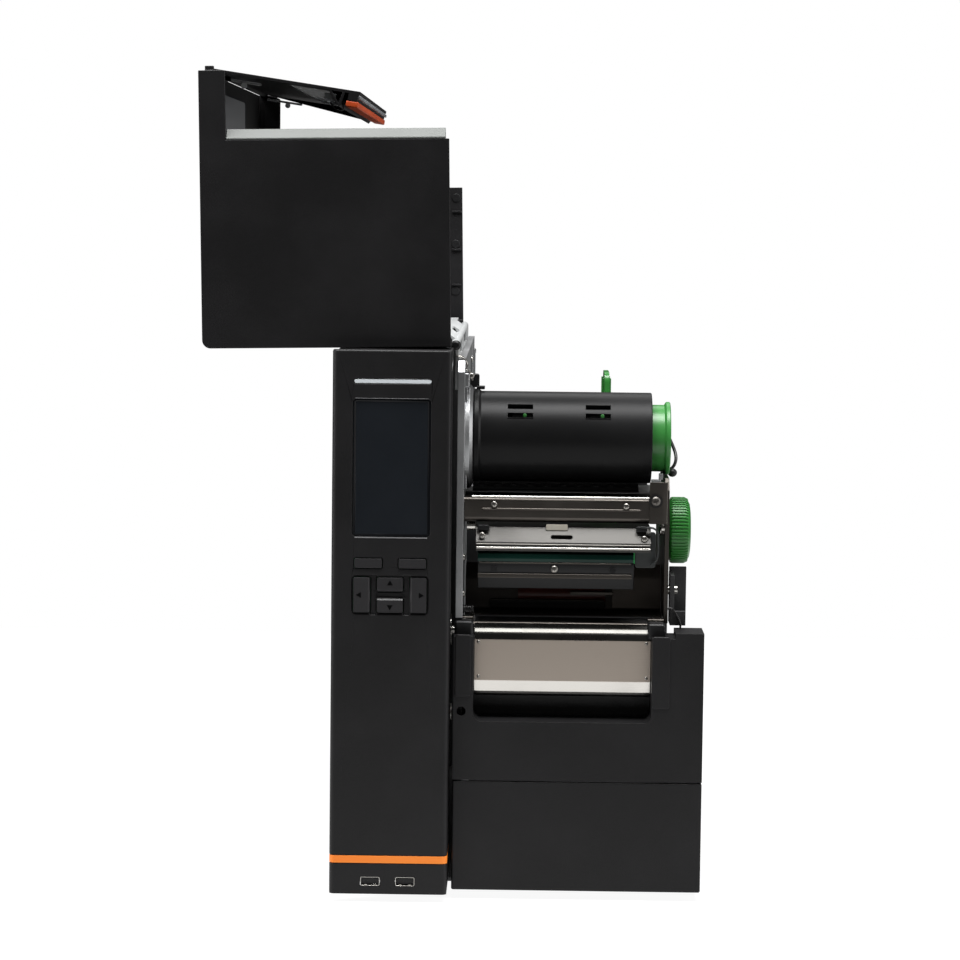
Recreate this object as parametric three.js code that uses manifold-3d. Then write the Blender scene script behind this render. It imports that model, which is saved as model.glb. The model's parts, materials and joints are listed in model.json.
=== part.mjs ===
// Industrial thermal-transfer label printer with its bi-fold media cover swung fully open.
// Millimetres, +Z up, front towards -Y. X = 0 is the cover's hinge line, Y = 0 is mid-depth,
// Z = 0 is the table. The electronics tower is left of the hinge line, the media side is right of it.

import * as THREE from 'three';
import { mergeVertices } from 'three/addons/utils/BufferGeometryUtils.js';
import Module from 'manifold-3d';

const wasm = await Module();
wasm.setup();

// ---- driving dimensions ----
const GAP = 0.3; // clearance between neighbouring solids
const WALL = 3; // moulded shell thickness
const SHEET = 1.5; // folded sheet metal thickness
const FLOOR = 5; // underside of the base above the table

const TOWER = { x0: -84, x1: -0.2, z0: 5.8, z1: 392.8, front: -255.5, back: -205.3 };
const MEDIA = { x0: 2.6, x1: 180.6, z0: 6.4, front: -240, back: -206.5 };
const REAR = 255.5; // back face of the electronics side
const MEDIA_REAR = 235; // back face of the media side
const WINDOW = { x0: 16.8, x1: 143.7, z0: 128.3 }; // label window in the lower front cover

const HINGE = { x: 0, z: 393.6, radius: 3, bore: 1.6, pin: 1.2 };
const OPEN_ANGLE = 181.07; // cover swing from closed to resting open, degrees
const COVER = { x0: 1.5, x1: 177.1, z1: 392.5, front: -240, back: 235, legTop: 197.6, legX: 158.4 };
const COVER_LIP = { front: 246.3, back: 276.8 }; // lower edges of the cover's front and back walls
const DOOR = { x: 169.4, z: 197, length: 105, y0: -203, y1: 228, skin: 2.2 };
const FOLD_ANGLE = 99.4; // door fold when the cover is open, degrees

const SCREEN = { x0: -69.5, x1: -14.5, z0: 261, z1: 358.6 };
const KEY = { proud: 1.2, stem: 4 };
const STRIPE = { z0: 27.9, z1: 33.8, depth: 1 };

const PLATEN = { y: -192, z: 187.5, radius: 10, x0: 18, x1: 142 };
const HEAD_PIVOT = { y: -116, z: 262, radius: 3 };
const KNOB = { y: -180, z: 261, radius: 24, x0: 156.5, x1: 172.2 };
const TAKE_UP = { y: -170, z: 327, radius: 33, x0: 14.3, x1: 143.3 };
const SUPPLY = { y: -62, z: 322, radius: 12.5 };
const SPINDLE = { y: 110, z: 246, x1: 158 };
const FRAME = { x0: 3.3, x1: 8.3, z0: 9, z1: 384 };

// ---- shape helpers: each returns a manifold solid in place ----
const radians = THREE.MathUtils.degToRad;
const ALONG_X = new THREE.Matrix4().makeBasis(
  new THREE.Vector3(0, 1, 0),
  new THREE.Vector3(0, 0, 1),
  new THREE.Vector3(1, 0, 0),
);

function solid(geometry) {
  const bare = geometry.clone();
  bare.deleteAttribute('normal');
  bare.deleteAttribute('uv');
  const merged = mergeVertices(bare, 1e-4);
  const vertProperties = new Float32Array(merged.attributes.position.array);
  const triVerts = new Uint32Array(merged.index.array);
  return new wasm.Manifold(new wasm.Mesh({ numProp: 3, vertProperties, triVerts }));
}

const join = (first, ...rest) => rest.reduce((sum, next) => sum.add(next), first);
const cut = (first, ...rest) => rest.reduce((sum, next) => sum.subtract(next), first);

function box(x0, x1, y0, y1, z0, z1) {
  const shape = new THREE.BoxGeometry(x1 - x0, y1 - y0, z1 - z0);
  return solid(shape.translate((x0 + x1) / 2, (y0 + y1) / 2, (z0 + z1) / 2));
}

function roundedOutline(x0, x1, z0, z1, radius) {
  const shape = new THREE.Shape();
  shape.moveTo(x0 + radius, z0);
  shape.lineTo(x1 - radius, z0);
  shape.absarc(x1 - radius, z0 + radius, radius, -Math.PI / 2, 0);
  shape.absarc(x1 - radius, z1 - radius, radius, 0, Math.PI / 2);
  shape.absarc(x0 + radius, z1 - radius, radius, Math.PI / 2, Math.PI);
  shape.absarc(x0 + radius, z0 + radius, radius, Math.PI, Math.PI * 1.5);
  return shape;
}

// an outline in X and Z, extruded along Y from y0 to y1
function extrudeY(shape, y0, y1, segments = 3) {
  const options = { depth: y1 - y0, bevelEnabled: false, curveSegments: segments };
  const geometry = new THREE.ExtrudeGeometry(shape, options);
  return solid(geometry.rotateX(Math.PI / 2).translate(0, y1, 0));
}

// an outline in Y and Z, extruded along X from x0 to x1
function extrudeX(shape, x0, x1, segments = 3) {
  const options = { depth: x1 - x0, bevelEnabled: false, curveSegments: segments };
  const geometry = new THREE.ExtrudeGeometry(shape, options);
  return solid(geometry.applyMatrix4(ALONG_X).translate(x0, 0, 0));
}

// an outline in X and Y, extruded along Z from z0 to z1
function extrudeZ(shape, z0, z1, segments = 3) {
  const options = { depth: z1 - z0, bevelEnabled: false, curveSegments: segments };
  return solid(new THREE.ExtrudeGeometry(shape, options).translate(0, 0, z0));
}

const plateY = (x0, x1, z0, z1, y0, y1, radius) =>
  extrudeY(roundedOutline(x0, x1, z0, z1, radius), y0, y1);
const plateX = (y0, y1, z0, z1, x0, x1, radius) =>
  extrudeX(roundedOutline(y0, y1, z0, z1, radius), x0, x1);

const polygon = (points) => new THREE.Shape(points.map(([u, v]) => new THREE.Vector2(u, v)));

function rodX(x0, x1, y, z, radius, sides = 24) {
  const rod = new THREE.CylinderGeometry(radius, radius, x1 - x0, sides);
  return solid(rod.rotateZ(Math.PI / 2).translate((x0 + x1) / 2, y, z));
}

function rodY(y0, y1, x, z, radius, sides = 24) {
  const rod = new THREE.CylinderGeometry(radius, radius, y1 - y0, sides);
  return solid(rod.translate(x, (y0 + y1) / 2, z));
}

// a turned piece about an axis along X through (y, z); the profile lists [radius, x]
function turnedX(profile, y, z, sides = 32) {
  const points = profile.map(([radius, x]) => new THREE.Vector2(radius, x));
  return solid(new THREE.LatheGeometry(points, sides).rotateZ(-Math.PI / 2).translate(0, y, z));
}

// a bent sheet: a polyline in Y and Z given one-sided thickness, extruded along X
function bentSheetX(line, thickness, x0, x1) {
  const offset = line.map(([y, z], i) => {
    const [ay, az] = line[Math.max(i - 1, 0)];
    const [by, bz] = line[Math.min(i + 1, line.length - 1)];
    const length = Math.hypot(by - ay, bz - az);
    return [y - (thickness * (bz - az)) / length, z + (thickness * (by - ay)) / length];
  });
  return extrudeX(polygon([...line, ...offset.reverse()]), x0, x1);
}

// points on an arc in any plane, angles in degrees
function arc(u, v, radius, from, to, steps) {
  return Array.from({ length: steps + 1 }, (_, i) => {
    const angle = radians(from + ((to - from) * i) / steps);
    return [u + radius * Math.cos(angle), v + radius * Math.sin(angle)];
  });
}

// ---- finishes ----
const FINISH = {
  blackPlastic: [0x17181a, 0.62, 0],
  blackSatin: [0x101113, 0.42, 0],
  keyGrey: [0x35373c, 0.5, 0],
  darkGlass: [0x0b1014, 0.08, 0],
  orange: [0xe8581c, 0.5, 0],
  silver: [0xb9b7b0, 0.38, 0.85],
  steel: [0xb6b3ae, 0.34, 0.95],
  chrome: [0xd8d8d6, 0.12, 1],
  dieCast: [0xbfc1c2, 0.48, 0.75],
  aluminium: [0xcacac8, 0.4, 0.85],
  green: [0x35b553, 0.28, 0],
  clear: [0xdfe6e8, 0.08, 0],
  rubber: [0x141414, 0.85, 0],
  sheetBlack: [0x1b1c1e, 0.55, 0.3],
  board: [0x1d5a35, 0.6, 0],
  white: [0xd6d8da, 0.45, 0],
};

function part(name, body, finish) {
  const { vertProperties, triVerts } = body.getMesh();
  const geometry = new THREE.BufferGeometry();
  geometry.setAttribute('position', new THREE.BufferAttribute(new Float32Array(vertProperties), 3));
  geometry.setIndex(new THREE.BufferAttribute(new Uint32Array(triVerts), 1));
  const [color, roughness, metalness] = FINISH[finish];
  const mesh = new THREE.Mesh(
    geometry,
    new THREE.MeshStandardMaterial({ color, roughness, metalness, flatShading: true }),
  );
  mesh.name = name;
  return mesh;
}

// ---- base and feet ----
function baseTray() {
  const floorOutline = polygon([
    [-81.4, TOWER.back + GAP],
    [177, TOWER.back + GAP],
    [177, MEDIA_REAR - 3.6],
    [-0.6, MEDIA_REAR - 3.6],
    [-0.6, REAR - 4],
    [-81.4, REAR - 4],
  ]);
  const plate = extrudeZ(floorOutline, FLOOR, FLOOR + 3);
  const leftLip = box(-81.4, -79.9, TOWER.back + GAP, REAR - 4, FLOOR, 20);
  const rearLip = box(-81.4, -0.6, REAR - 5.5, REAR - 4, FLOOR, 20);
  const rightLip = box(175.5, 177, TOWER.back + GAP, MEDIA_REAR - 3.6, FLOOR, 20);
  return join(plate, leftLip, rearLip, rightLip);
}

function foot(x, y) {
  const profile = [[0, 0], [9.5, 0], [11, 1.5], [11, FLOOR - GAP], [0, FLOOR - GAP]];
  const points = profile.map(([radius, z]) => new THREE.Vector2(radius, z));
  return solid(new THREE.LatheGeometry(points, 24).rotateX(Math.PI / 2).translate(x, y, 0));
}

// ---- front tower: the moulded panel that carries the screen, keys and sockets ----
const KEYS = {
  key_soft_left: { x0: -67.5, x1: -48.2, z0: 239.1, z1: 245.7 },
  key_soft_right: { x0: -36.4, x1: -17.1, z0: 239.1, z1: 245.7 },
  key_left: { x0: -68.1, x1: -56.4, z0: 207.6, z1: 232.3 },
  key_right: { x0: -28.3, x1: -16.6, z0: 207.6, z1: 232.3 },
  key_up: { x0: -51.5, x1: -33.2, z0: 222.3, z1: 232.3 },
  key_down: { x0: -51.5, x1: -33.2, z0: 207.6, z1: 217.6 },
};
const SOCKETS = {
  usb_port_left: { x0: -61.6, x1: -47.9 },
  usb_port_right: { x0: -36.8, x1: -23.1 },
};
const SOCKET_Z = { z0: 11.8, z1: 18.2 };
const LIGHT_BAR = { x0: -68.9, x1: -14.2, z0: 369, z1: 372.5 };

function towerOutline(inset) {
  const radius = 4 - Math.min(inset, 3);
  const x0 = TOWER.x0 + inset;
  const x1 = TOWER.x1 - inset;
  const front = TOWER.front + inset;
  const shape = new THREE.Shape();
  shape.moveTo(x0, TOWER.back);
  shape.absarc(x0 + radius, front + radius, radius, Math.PI, Math.PI * 1.5);
  shape.absarc(x1 - radius, front + radius, radius, -Math.PI / 2, 0);
  shape.lineTo(x1, TOWER.back);
  return shape;
}

function frontTower() {
  const outer = extrudeZ(towerOutline(0), TOWER.z0, TOWER.z1, 4);
  const inner = box(
    TOWER.x0 + WALL, TOWER.x1 - WALL, TOWER.front + WALL, TOWER.back + 1, TOWER.z0 + WALL, TOWER.z1 - WALL,
  );
  const band = cut(
    box(TOWER.x0 - 1, TOWER.x1 + 1, TOWER.front - 1, TOWER.back + 1, STRIPE.z0, STRIPE.z1),
    extrudeZ(towerOutline(STRIPE.depth), STRIPE.z0 - 1, STRIPE.z1 + 1, 4),
  );
  const through = [TOWER.front - 1, TOWER.front + WALL + 1];
  const screen = plateY(SCREEN.x0, SCREEN.x1, SCREEN.z0, SCREEN.z1, ...through, 3);
  const bar = plateY(LIGHT_BAR.x0, LIGHT_BAR.x1, LIGHT_BAR.z0, LIGHT_BAR.z1, ...through, 1.7);
  const keyHoles = Object.values(KEYS).map((key) =>
    plateY(key.x0 - 0.5, key.x1 + 0.5, key.z0 - 0.5, key.z1 + 0.5, ...through, 1.3));
  const socketHoles = Object.values(SOCKETS).map((socket) =>
    box(socket.x0 - GAP, socket.x1 + GAP, ...through, SOCKET_Z.z0 - GAP, SOCKET_Z.z1 + GAP));
  return cut(outer, inner, band, screen, bar, ...keyHoles, ...socketHoles);
}

function accentStripe() {
  const z0 = STRIPE.z0 + GAP;
  const z1 = STRIPE.z1 - GAP;
  const outer = extrudeZ(towerOutline(0), z0, z1, 4);
  const inner = extrudeZ(towerOutline(STRIPE.depth - GAP), z0 - 1, z1 + 1, 4);
  const backEnd = box(TOWER.x0 - 1, TOWER.x1 + 1, TOWER.back - GAP, TOWER.back + 1, z0 - 1, z1 + 1);
  return cut(outer, inner, backEnd);
}

const inHole = (hole, y0, y1, radius) =>
  plateY(hole.x0 + GAP, hole.x1 - GAP, hole.z0 + GAP, hole.z1 - GAP, y0, y1, radius);

const displayGlass = () => inHole(SCREEN, TOWER.front + 1, TOWER.front + 2.8, 2.7);
const displayModule = () =>
  box(SCREEN.x0 - 2, SCREEN.x1 + 2, TOWER.front + 3.4, TOWER.front + 12, SCREEN.z0 - 4, SCREEN.z1 + 4);
const statusLightBar = () => inHole(LIGHT_BAR, TOWER.front + 0.2, TOWER.front + 6, 1.3);

function keyCap(key) {
  const cap = plateY(
    key.x0, key.x1, key.z0, key.z1, TOWER.front - KEY.proud + 0.4, TOWER.front + WALL + GAP, 1,
  );
  const x = (key.x0 + key.x1) / 2;
  const z = (key.z0 + key.z1) / 2;
  const stem = rodY(TOWER.front + WALL, TOWER.front + WALL + KEY.stem, x, z, 1.6, 12);
  return join(cap, stem);
}

const controlBoard = () =>
  box(-78, -6, TOWER.front + WALL + KEY.stem + 1.6, TOWER.front + WALL + KEY.stem + 3.2, 196, 250);

function usbPort(socket) {
  const shell = box(socket.x0, socket.x1, TOWER.front + 0.4, TOWER.front + 15, SOCKET_Z.z0, SOCKET_Z.z1);
  const mouth = box(
    socket.x0 + 0.5, socket.x1 - 0.5, TOWER.front, TOWER.front + 12, SOCKET_Z.z0 + 0.5, SOCKET_Z.z1 - 0.5,
  );
  const tongue = box(
    socket.x0 + 1.2, socket.x1 - 1.2,
    TOWER.front + 1.5, TOWER.front + 12,
    SOCKET_Z.z1 - 2.8, SOCKET_Z.z1 - 1,
  );
  return join(cut(shell, mouth), tongue);
}

// ---- electronics side ----
function electronicsCover() {
  const top = TOWER.z1 - 0.5;
  const corner = 5;
  const outline = new THREE.Shape();
  outline.moveTo(TOWER.x0, 9);
  outline.lineTo(TOWER.x0 + 2, 9);
  outline.lineTo(TOWER.x0 + 2, top - corner);
  outline.absarc(TOWER.x0 + corner, top - corner, corner - 2, Math.PI, Math.PI / 2, true);
  outline.lineTo(-4.2, top - 2);
  outline.lineTo(-4.2, top);
  outline.absarc(TOWER.x0 + corner, top - corner, corner, Math.PI / 2, Math.PI);
  return extrudeY(outline, TOWER.back + GAP, REAR - 3.6, 5);
}

const INLET = { x: -56, z: 60, width: 27, height: 20 };
const LAN = { x: -22, z: 190 };
const ROCKER = { x: -56, z: 96, width: 13, height: 20.4 };

function rearPanel() {
  const plate = plateY(TOWER.x0, -0.6, 6, TOWER.z1 - 0.5, REAR - 3.2, REAR - 1.2, 4);
  const inletHole = box(-71, -41, REAR - 5, REAR, 48, 109);
  const lanHole = box(LAN.x - 8.4, LAN.x + 8.4, REAR - 5, REAR, LAN.z - 7.2, LAN.z + 7.2);
  const vents = Array.from({ length: 7 }, (_, i) =>
    box(-70, -14, REAR - 5, REAR, 290 + i * 9, 294 + i * 9));
  return cut(plate, inletHole, lanHole, ...vents);
}

function powerInlet() {
  const body = box(-70.6, -41.4, REAR - 24, REAR - 1.2, 48.4, 108.6);
  const flange = plateY(-73, -39, 46, 111, REAR - 0.9, REAR, 3);
  const neck = box(-69, -43, REAR - 1.5, REAR - 0.5, 50, 107);
  const socket = plateY(
    INLET.x - INLET.width / 2 + 1.5, INLET.x + INLET.width / 2 - 1.5,
    INLET.z - INLET.height / 2 + 1, INLET.z + INLET.height / 2 - 1, REAR - 17, REAR + 1, 4,
  );
  const rockerPocket = box(
    ROCKER.x - ROCKER.width / 2, ROCKER.x + ROCKER.width / 2, REAR - 14, REAR + 1,
    ROCKER.z - ROCKER.height / 2, ROCKER.z + ROCKER.height / 2,
  );
  return cut(join(body, flange, neck), socket, rockerPocket);
}

// rocker cap: a shallow V seen from the side, its resting half pressed in
function powerRocker() {
  const y = REAR - 6;
  const outline = polygon([
    [y - 2.5, ROCKER.z - 2.5],
    [y - 2.5, ROCKER.z + 2.5],
    [y + 1.5, ROCKER.z + 7.6],
    [y + 5.2, ROCKER.z + 8.4],
    [y + 3.6, ROCKER.z],
    [y + 2.2, ROCKER.z - 8.4],
    [y - 0.6, ROCKER.z - 7.6],
  ]);
  return extrudeX(outline, ROCKER.x - ROCKER.width / 2 + 0.5, ROCKER.x + ROCKER.width / 2 - 0.5);
}

function networkPort() {
  const shell = box(LAN.x - 8, LAN.x + 8, REAR - 22, REAR - 0.8, LAN.z - 6.8, LAN.z + 6.8);
  const mouth = box(LAN.x - 5.9, LAN.x + 5.9, REAR - 16, REAR, LAN.z - 4.2, LAN.z + 4);
  return cut(shell, mouth);
}

const mainBoard = () => box(-14, -12.4, -60, 190, 150, 330);
const powerSupply = () => box(-72, -30, 40, 215, 24, 112);
const MOTOR = { y: -150, z: 120, size: 56 };
const driveMotor = () =>
  join(
    plateX(
      MOTOR.y - MOTOR.size / 2, MOTOR.y + MOTOR.size / 2,
      MOTOR.z - MOTOR.size / 2, MOTOR.z + MOTOR.size / 2, -66, -12, 5,
    ),
    rodX(-13, -10.4, MOTOR.y, MOTOR.z, 11),
  );
const PULLEY = { small: 7, large: 10, x0: -7, x1: 0, belt: 1.5 };
const motorPulley = () =>
  join(
    rodX(PULLEY.x0, PULLEY.x1, MOTOR.y, MOTOR.z, PULLEY.small),
    rodX(-10, PULLEY.x0 + 1, MOTOR.y, MOTOR.z, 2.5, 12),
  );

// outline of a belt run round two pulleys, at a given distance from their rims
function beltOutline(offset) {
  const dy = PLATEN.y - MOTOR.y;
  const dz = PLATEN.z - MOTOR.z;
  const heading = THREE.MathUtils.radToDeg(Math.atan2(dz, dy));
  const lean = THREE.MathUtils.radToDeg(
    Math.acos((PULLEY.small - PULLEY.large) / Math.hypot(dy, dz)),
  );
  return polygon([
    ...arc(MOTOR.y, MOTOR.z, PULLEY.small + offset, heading + lean, heading + 360 - lean, 14),
    ...arc(PLATEN.y, PLATEN.z, PULLEY.large + offset, heading - lean, heading + lean, 14),
  ]);
}

const driveBelt = () =>
  cut(
    extrudeX(beltOutline(0.4 + PULLEY.belt), PULLEY.x0 + 1, PULLEY.x1 - 1),
    extrudeX(beltOutline(0.4), PULLEY.x0 - 1, PULLEY.x1 + 1),
  );

// ---- die-cast centre wall between the electronics and the media ----
function centreFrame() {
  const outline = polygon([
    [-205.5, FRAME.z0],
    [228, FRAME.z0],
    [228, FRAME.z1],
    [-214, FRAME.z1],
    [-222, FRAME.z1 - 8],
    [-222, 200],
    [-205.5, 193],
  ]);
  const wall = extrudeX(outline, FRAME.x0, FRAME.x1);
  const boss = turnedX(
    [[0, 8], [38, 8], [38, 11.5], [35.5, 13.9], [0, 13.9]], TAKE_UP.y, TAKE_UP.z, 40,
  );
  const spindleBoss = rodX(8, 13.3, SPINDLE.y, SPINDLE.z, 24);
  const supplyBoss = rodX(8, 13.3, SUPPLY.y, SUPPLY.z, 20);
  const shaftHole = rodX(0, 20, PLATEN.y, PLATEN.z, 6);
  return cut(join(wall, boss, spindleBoss, supplyBoss), shaftHole);
}

// ---- media side shells ----
function lowerFrontCover() {
  const { x0, x1, front, back } = MEDIA;
  const z0 = 86.2;
  const leftTop = 189;
  const rightTop = 193;
  const shape = new THREE.Shape();
  shape.moveTo(x0, z0);
  shape.lineTo(x1, z0);
  shape.lineTo(x1, rightTop);
  shape.lineTo(160.4, rightTop);
  shape.lineTo(160.4, leftTop);
  shape.lineTo(WINDOW.x1, leftTop);
  shape.lineTo(WINDOW.x1, WINDOW.z0 + 6);
  shape.absarc(WINDOW.x1 - 6, WINDOW.z0 + 6, 6, 0, -Math.PI / 2, true);
  shape.absarc(WINDOW.x0 + 6, WINDOW.z0 + 6, 6, -Math.PI / 2, -Math.PI, true);
  shape.lineTo(WINDOW.x0, leftTop);
  shape.lineTo(x0, leftTop);
  const outer = extrudeY(shape, front, back, 4);
  const low = box(x0 + WALL, x1 - WALL, front + WALL, back + 1, z0 - 1, WINDOW.z0 - WALL);
  const left = box(x0 + WALL, WINDOW.x0 - WALL, front + WALL, back + 1, z0, leftTop - WALL);
  const right = box(WINDOW.x1 + WALL, x1 - WALL, front + WALL, back + 1, z0, leftTop - WALL);
  const hole = rodY(front - 1, front + WALL + 1, 8.4, 135.5, 3.3, 16);
  return cut(outer, low, left, right, hole);
}

function bottomFrontCover() {
  const { x0, x1, z0, front, back } = MEDIA;
  const top = 85.4;
  const outer = box(x0, x1, front, back, z0, top);
  return cut(outer, box(x0 + WALL, x1 - WALL, front + WALL, back + 1, z0 + WALL, top + 1));
}

const sidePanelTop = DOOR.z - DOOR.length - 1;
const rightSidePanel = () =>
  box(MEDIA.x1 - WALL, MEDIA.x1, MEDIA.back + GAP, MEDIA_REAR, MEDIA.z0, sidePanelTop);

function rearWall() {
  const shoulder = DOOR.z - 3.2; // clears the door lugs on the closed cover
  const outline = polygon([
    [FRAME.x1 + 1, FRAME.z0],
    [COVER.x1, FRAME.z0],
    [COVER.x1, shoulder],
    [COVER.legX - GAP, shoulder],
    [COVER.legX - GAP, COVER_LIP.back - 2 * GAP],
    [FRAME.x1 + 1, COVER_LIP.back - 2 * GAP],
  ]);
  return extrudeY(outline, MEDIA_REAR - WALL, MEDIA_REAR);
}

// ---- print unit ----
function tearPlate() {
  const line = [
    [-207.5, 192.6],
    [-220, 192.6],
    ...arc(-220.5, 187.6, 5, 100, 180, 5),
    [-225.5, 151],
    ...arc(-221, 150, 4.5, 190, 250, 3),
    [-212, 143.6],
  ];
  return bentSheetX(line, -SHEET, WINDOW.x0 + 0.5, WINDOW.x1 - 0.5);
}

function platenFrame() {
  const floorPlate = box(9, 150.4, -206, -120, 168, 170);
  const ends = [[13.4, 16.4], [147.4, 150.4]].map(([x0, x1]) =>
    cut(
      box(x0, x1, -206, -150, 169, 199),
      rodX(x0 - 1, x1 + 1, PLATEN.y, PLATEN.z, 5.3, 16),
      box(x0 - 1, x1 + 1, PLATEN.y - 3.6, PLATEN.y + 3.6, PLATEN.z, 200),
    ));
  return join(floorPlate, ...ends);
}

function platenRoller() {
  const sleeve = rodX(PLATEN.x0, PLATEN.x1, PLATEN.y, PLATEN.z, PLATEN.radius, 32);
  return cut(sleeve, rodX(0, 160, PLATEN.y, PLATEN.z, 6.3));
}

const platenShaft = () =>
  join(
    rodX(PLATEN.x0 - 0.5, PLATEN.x1 + 0.5, PLATEN.y, PLATEN.z, 6, 24),
    rodX(-8, 152, PLATEN.y, PLATEN.z, 3.2, 16),
    rodX(PULLEY.x0, PULLEY.x1, PLATEN.y, PLATEN.z, PULLEY.large, 24),
  );

function headBracket() {
  const line = [
    [-122, 284],
    [-196, 284],
    ...arc(-200, 280, 5.5, 70, 150, 4),
    [-209, 269.6],
    [-203, 267.6],
  ];
  return bentSheetX(line, -2, 8.8, 152.6);
}

function sidePlate() {
  const outline = polygon([
    [-206, 196],
    [-206, 292],
    [-196, 300],
    [-120, 300],
    [-60, 262],
    [-60, 170],
    [-118, 168.5],
    [-150, 196],
  ]);
  return cut(extrudeX(outline, 153, 156), rodX(150, 160, KNOB.y, KNOB.z, 4.6, 16));
}

function headPlate() {
  const outline = polygon([
    [-206, 264.4],
    [HEAD_PIVOT.y - 6, 264.4],
    [HEAD_PIVOT.y - 6, 256],
    [-170, 256],
    [-170, 247.4],
    [-211, 247.4],
    [-211, 252],
    [-213, 254],
  ]);
  const slab = extrudeX(outline, 17.2, 142.8);
  const arms = box(17.2, 142.8, HEAD_PIVOT.y - 8, HEAD_PIVOT.y, 257, 263);
  const rod = rodX(13, 152.6, HEAD_PIVOT.y, HEAD_PIVOT.z, HEAD_PIVOT.radius, 16);
  const slot = plateY(71, 86.6, 256.4, 259.1, -220, -200, 1.3);
  return cut(join(slab, arms, rod), slot);
}

const thermalStrip = () => box(18.8, 131, -210.5, -199, 239.4, 247.1);
function headBlock() {
  const outline = polygon([
    [-209.4, 239.1],
    [-180, 239.1],
    [-180, 219.8],
    [-204, 219.8],
    [-207.4, 228],
    [-209.4, 231],
  ]);
  return extrudeX(outline, 18.8, 131);
}

// ribbed head-release knob with its short shaft through the side plate
function headKnob() {
  const ribs = 30;
  const rim = Array.from({ length: ribs * 2 }, (_, i) => {
    const radius = KNOB.radius - (i % 2) * 0.9;
    const angle = (i * Math.PI) / ribs;
    return [KNOB.y + radius * Math.cos(angle), KNOB.z + radius * Math.sin(angle)];
  });
  return join(
    extrudeX(polygon(rim), KNOB.x0, KNOB.x1 - 2),
    rodX(KNOB.x1 - 3, KNOB.x1, KNOB.y, KNOB.z, KNOB.radius - 2.5, 32),
    rodX(150, KNOB.x0 + 1, KNOB.y, KNOB.z, 4, 16),
  );
}

function ribbonComb() {
  const bar = box(14.2, 134, -186, -160, 287.2, 288.7);
  const teeth = Array.from({ length: 10 }, (_, i) =>
    box(18 + i * 11.7, 24 + i * 11.7, -184, -180, 288, 291.6));
  return join(bar, ...teeth);
}

function latchBracket() {
  const web = box(157, 160, -214, -190, 195.5, 232);
  const face = box(157, 169.4, -196, -193, 203, 236);
  const hook = box(157, 168.4, -214, -211, 195.5, 206);
  return join(web, face, hook);
}

// ---- ribbon and media carriers ----
const SLOTS = [[39, 57], [95.2, 113]];
const SLOT_ROWS = [[342, 345.8], [348.7, 351.8]];

function takeUpDrum() {
  const { x0, x1, radius, y, z } = TAKE_UP;
  const tube = turnedX([
    [0, x0], [radius + 1.6, x0], [radius + 1.6, x0 + 4], [radius, x0 + 5.2], [radius, x1],
    [radius - 3, x1], [radius - 3, x0 + 7], [0, x0 + 7],
  ], y, z, 44);
  const slots = SLOTS.flatMap(([from, to]) =>
    SLOT_ROWS.map(([low, high]) => box(from, to, y - radius - 2, y - radius + 14, low, high)));
  return cut(tube, ...slots);
}

const takeUpCap = () =>
  turnedX([
    [0, 141], [24.3, 141], [24.3, 153], [26.5, 153.6], [26.5, 157], [22, 157], [22, 145], [0, 145],
  ], TAKE_UP.y, TAKE_UP.z, 36);

function supplyDrum() {
  const core = turnedX([
    [0, 13.8], [20, 13.8], [20, 17], [SUPPLY.radius, 17.6], [SUPPLY.radius, 140], [0, 142],
  ], SUPPLY.y, SUPPLY.z, 28);
  const fins = [0, 120, 240].map((angle) => {
    const spread = radians(angle);
    const y = SUPPLY.y + 12.4 * Math.cos(spread);
    const z = SUPPLY.z + 12.4 * Math.sin(spread);
    return rodX(24, 134, y, z, 1.8, 12);
  });
  return join(core, ...fins);
}

function mediaSpindle() {
  const bar = plateX(
    SPINDLE.y - 14, SPINDLE.y + 14, SPINDLE.z - 7, SPINDLE.z + 12, 13.6, SPINDLE.x1, 6,
  );
  const lip = plateX(
    SPINDLE.y - 10, SPINDLE.y + 10, SPINDLE.z + 8, SPINDLE.z + 18, SPINDLE.x1 - 4, SPINDLE.x1, 4,
  );
  return join(bar, lip);
}

const GUARD = { x0: 114, x1: 122, top: 361.3 };
function mediaGuard() {
  const { y, z } = SPINDLE;
  const arm = plateX(y - 24, y + 24, z - 26, GUARD.top, GUARD.x0 + 2, GUARD.x1 - 2, 8);
  const hub = plateX(y - 20, y + 20, z - 18, z + 24, GUARD.x0, GUARD.x1, 8);
  const bore = plateX(y - 14.5, y + 14.5, z - 7.5, z + 12.5, GUARD.x0 - 1, GUARD.x1 + 1, 6);
  const slot = plateX(y - 8, y + 8, z + 40, GUARD.top - 16, GUARD.x0 - 1, GUARD.x1 + 1, 6);
  return cut(join(arm, hub), bore, slot);
}

// ---- cover hinge: alternating knuckles on one long pin ----
const BASE_KNUCKLES = [[-198, -140], [-40, 20], [150, 220]];
const COVER_KNUCKLES = [[-139.4, -40.6], [20.6, 149.4]];
const hingeBore = () => rodY(-230, 230, HINGE.x, HINGE.z, HINGE.bore, 12);

function hingeBaseLeaf() {
  const strip = box(1, 3, -198, 220, 362, 383);
  const ears = BASE_KNUCKLES.flatMap(([y0, y1]) => [
    box(1, 3, y0, y1, 380, HINGE.z),
    rodY(y0, y1, HINGE.x, HINGE.z, HINGE.radius, 16),
  ]);
  return cut(join(strip, ...ears), hingeBore());
}

const hingePin = () => rodY(-199, 221, HINGE.x, HINGE.z, HINGE.pin, 12);

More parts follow.
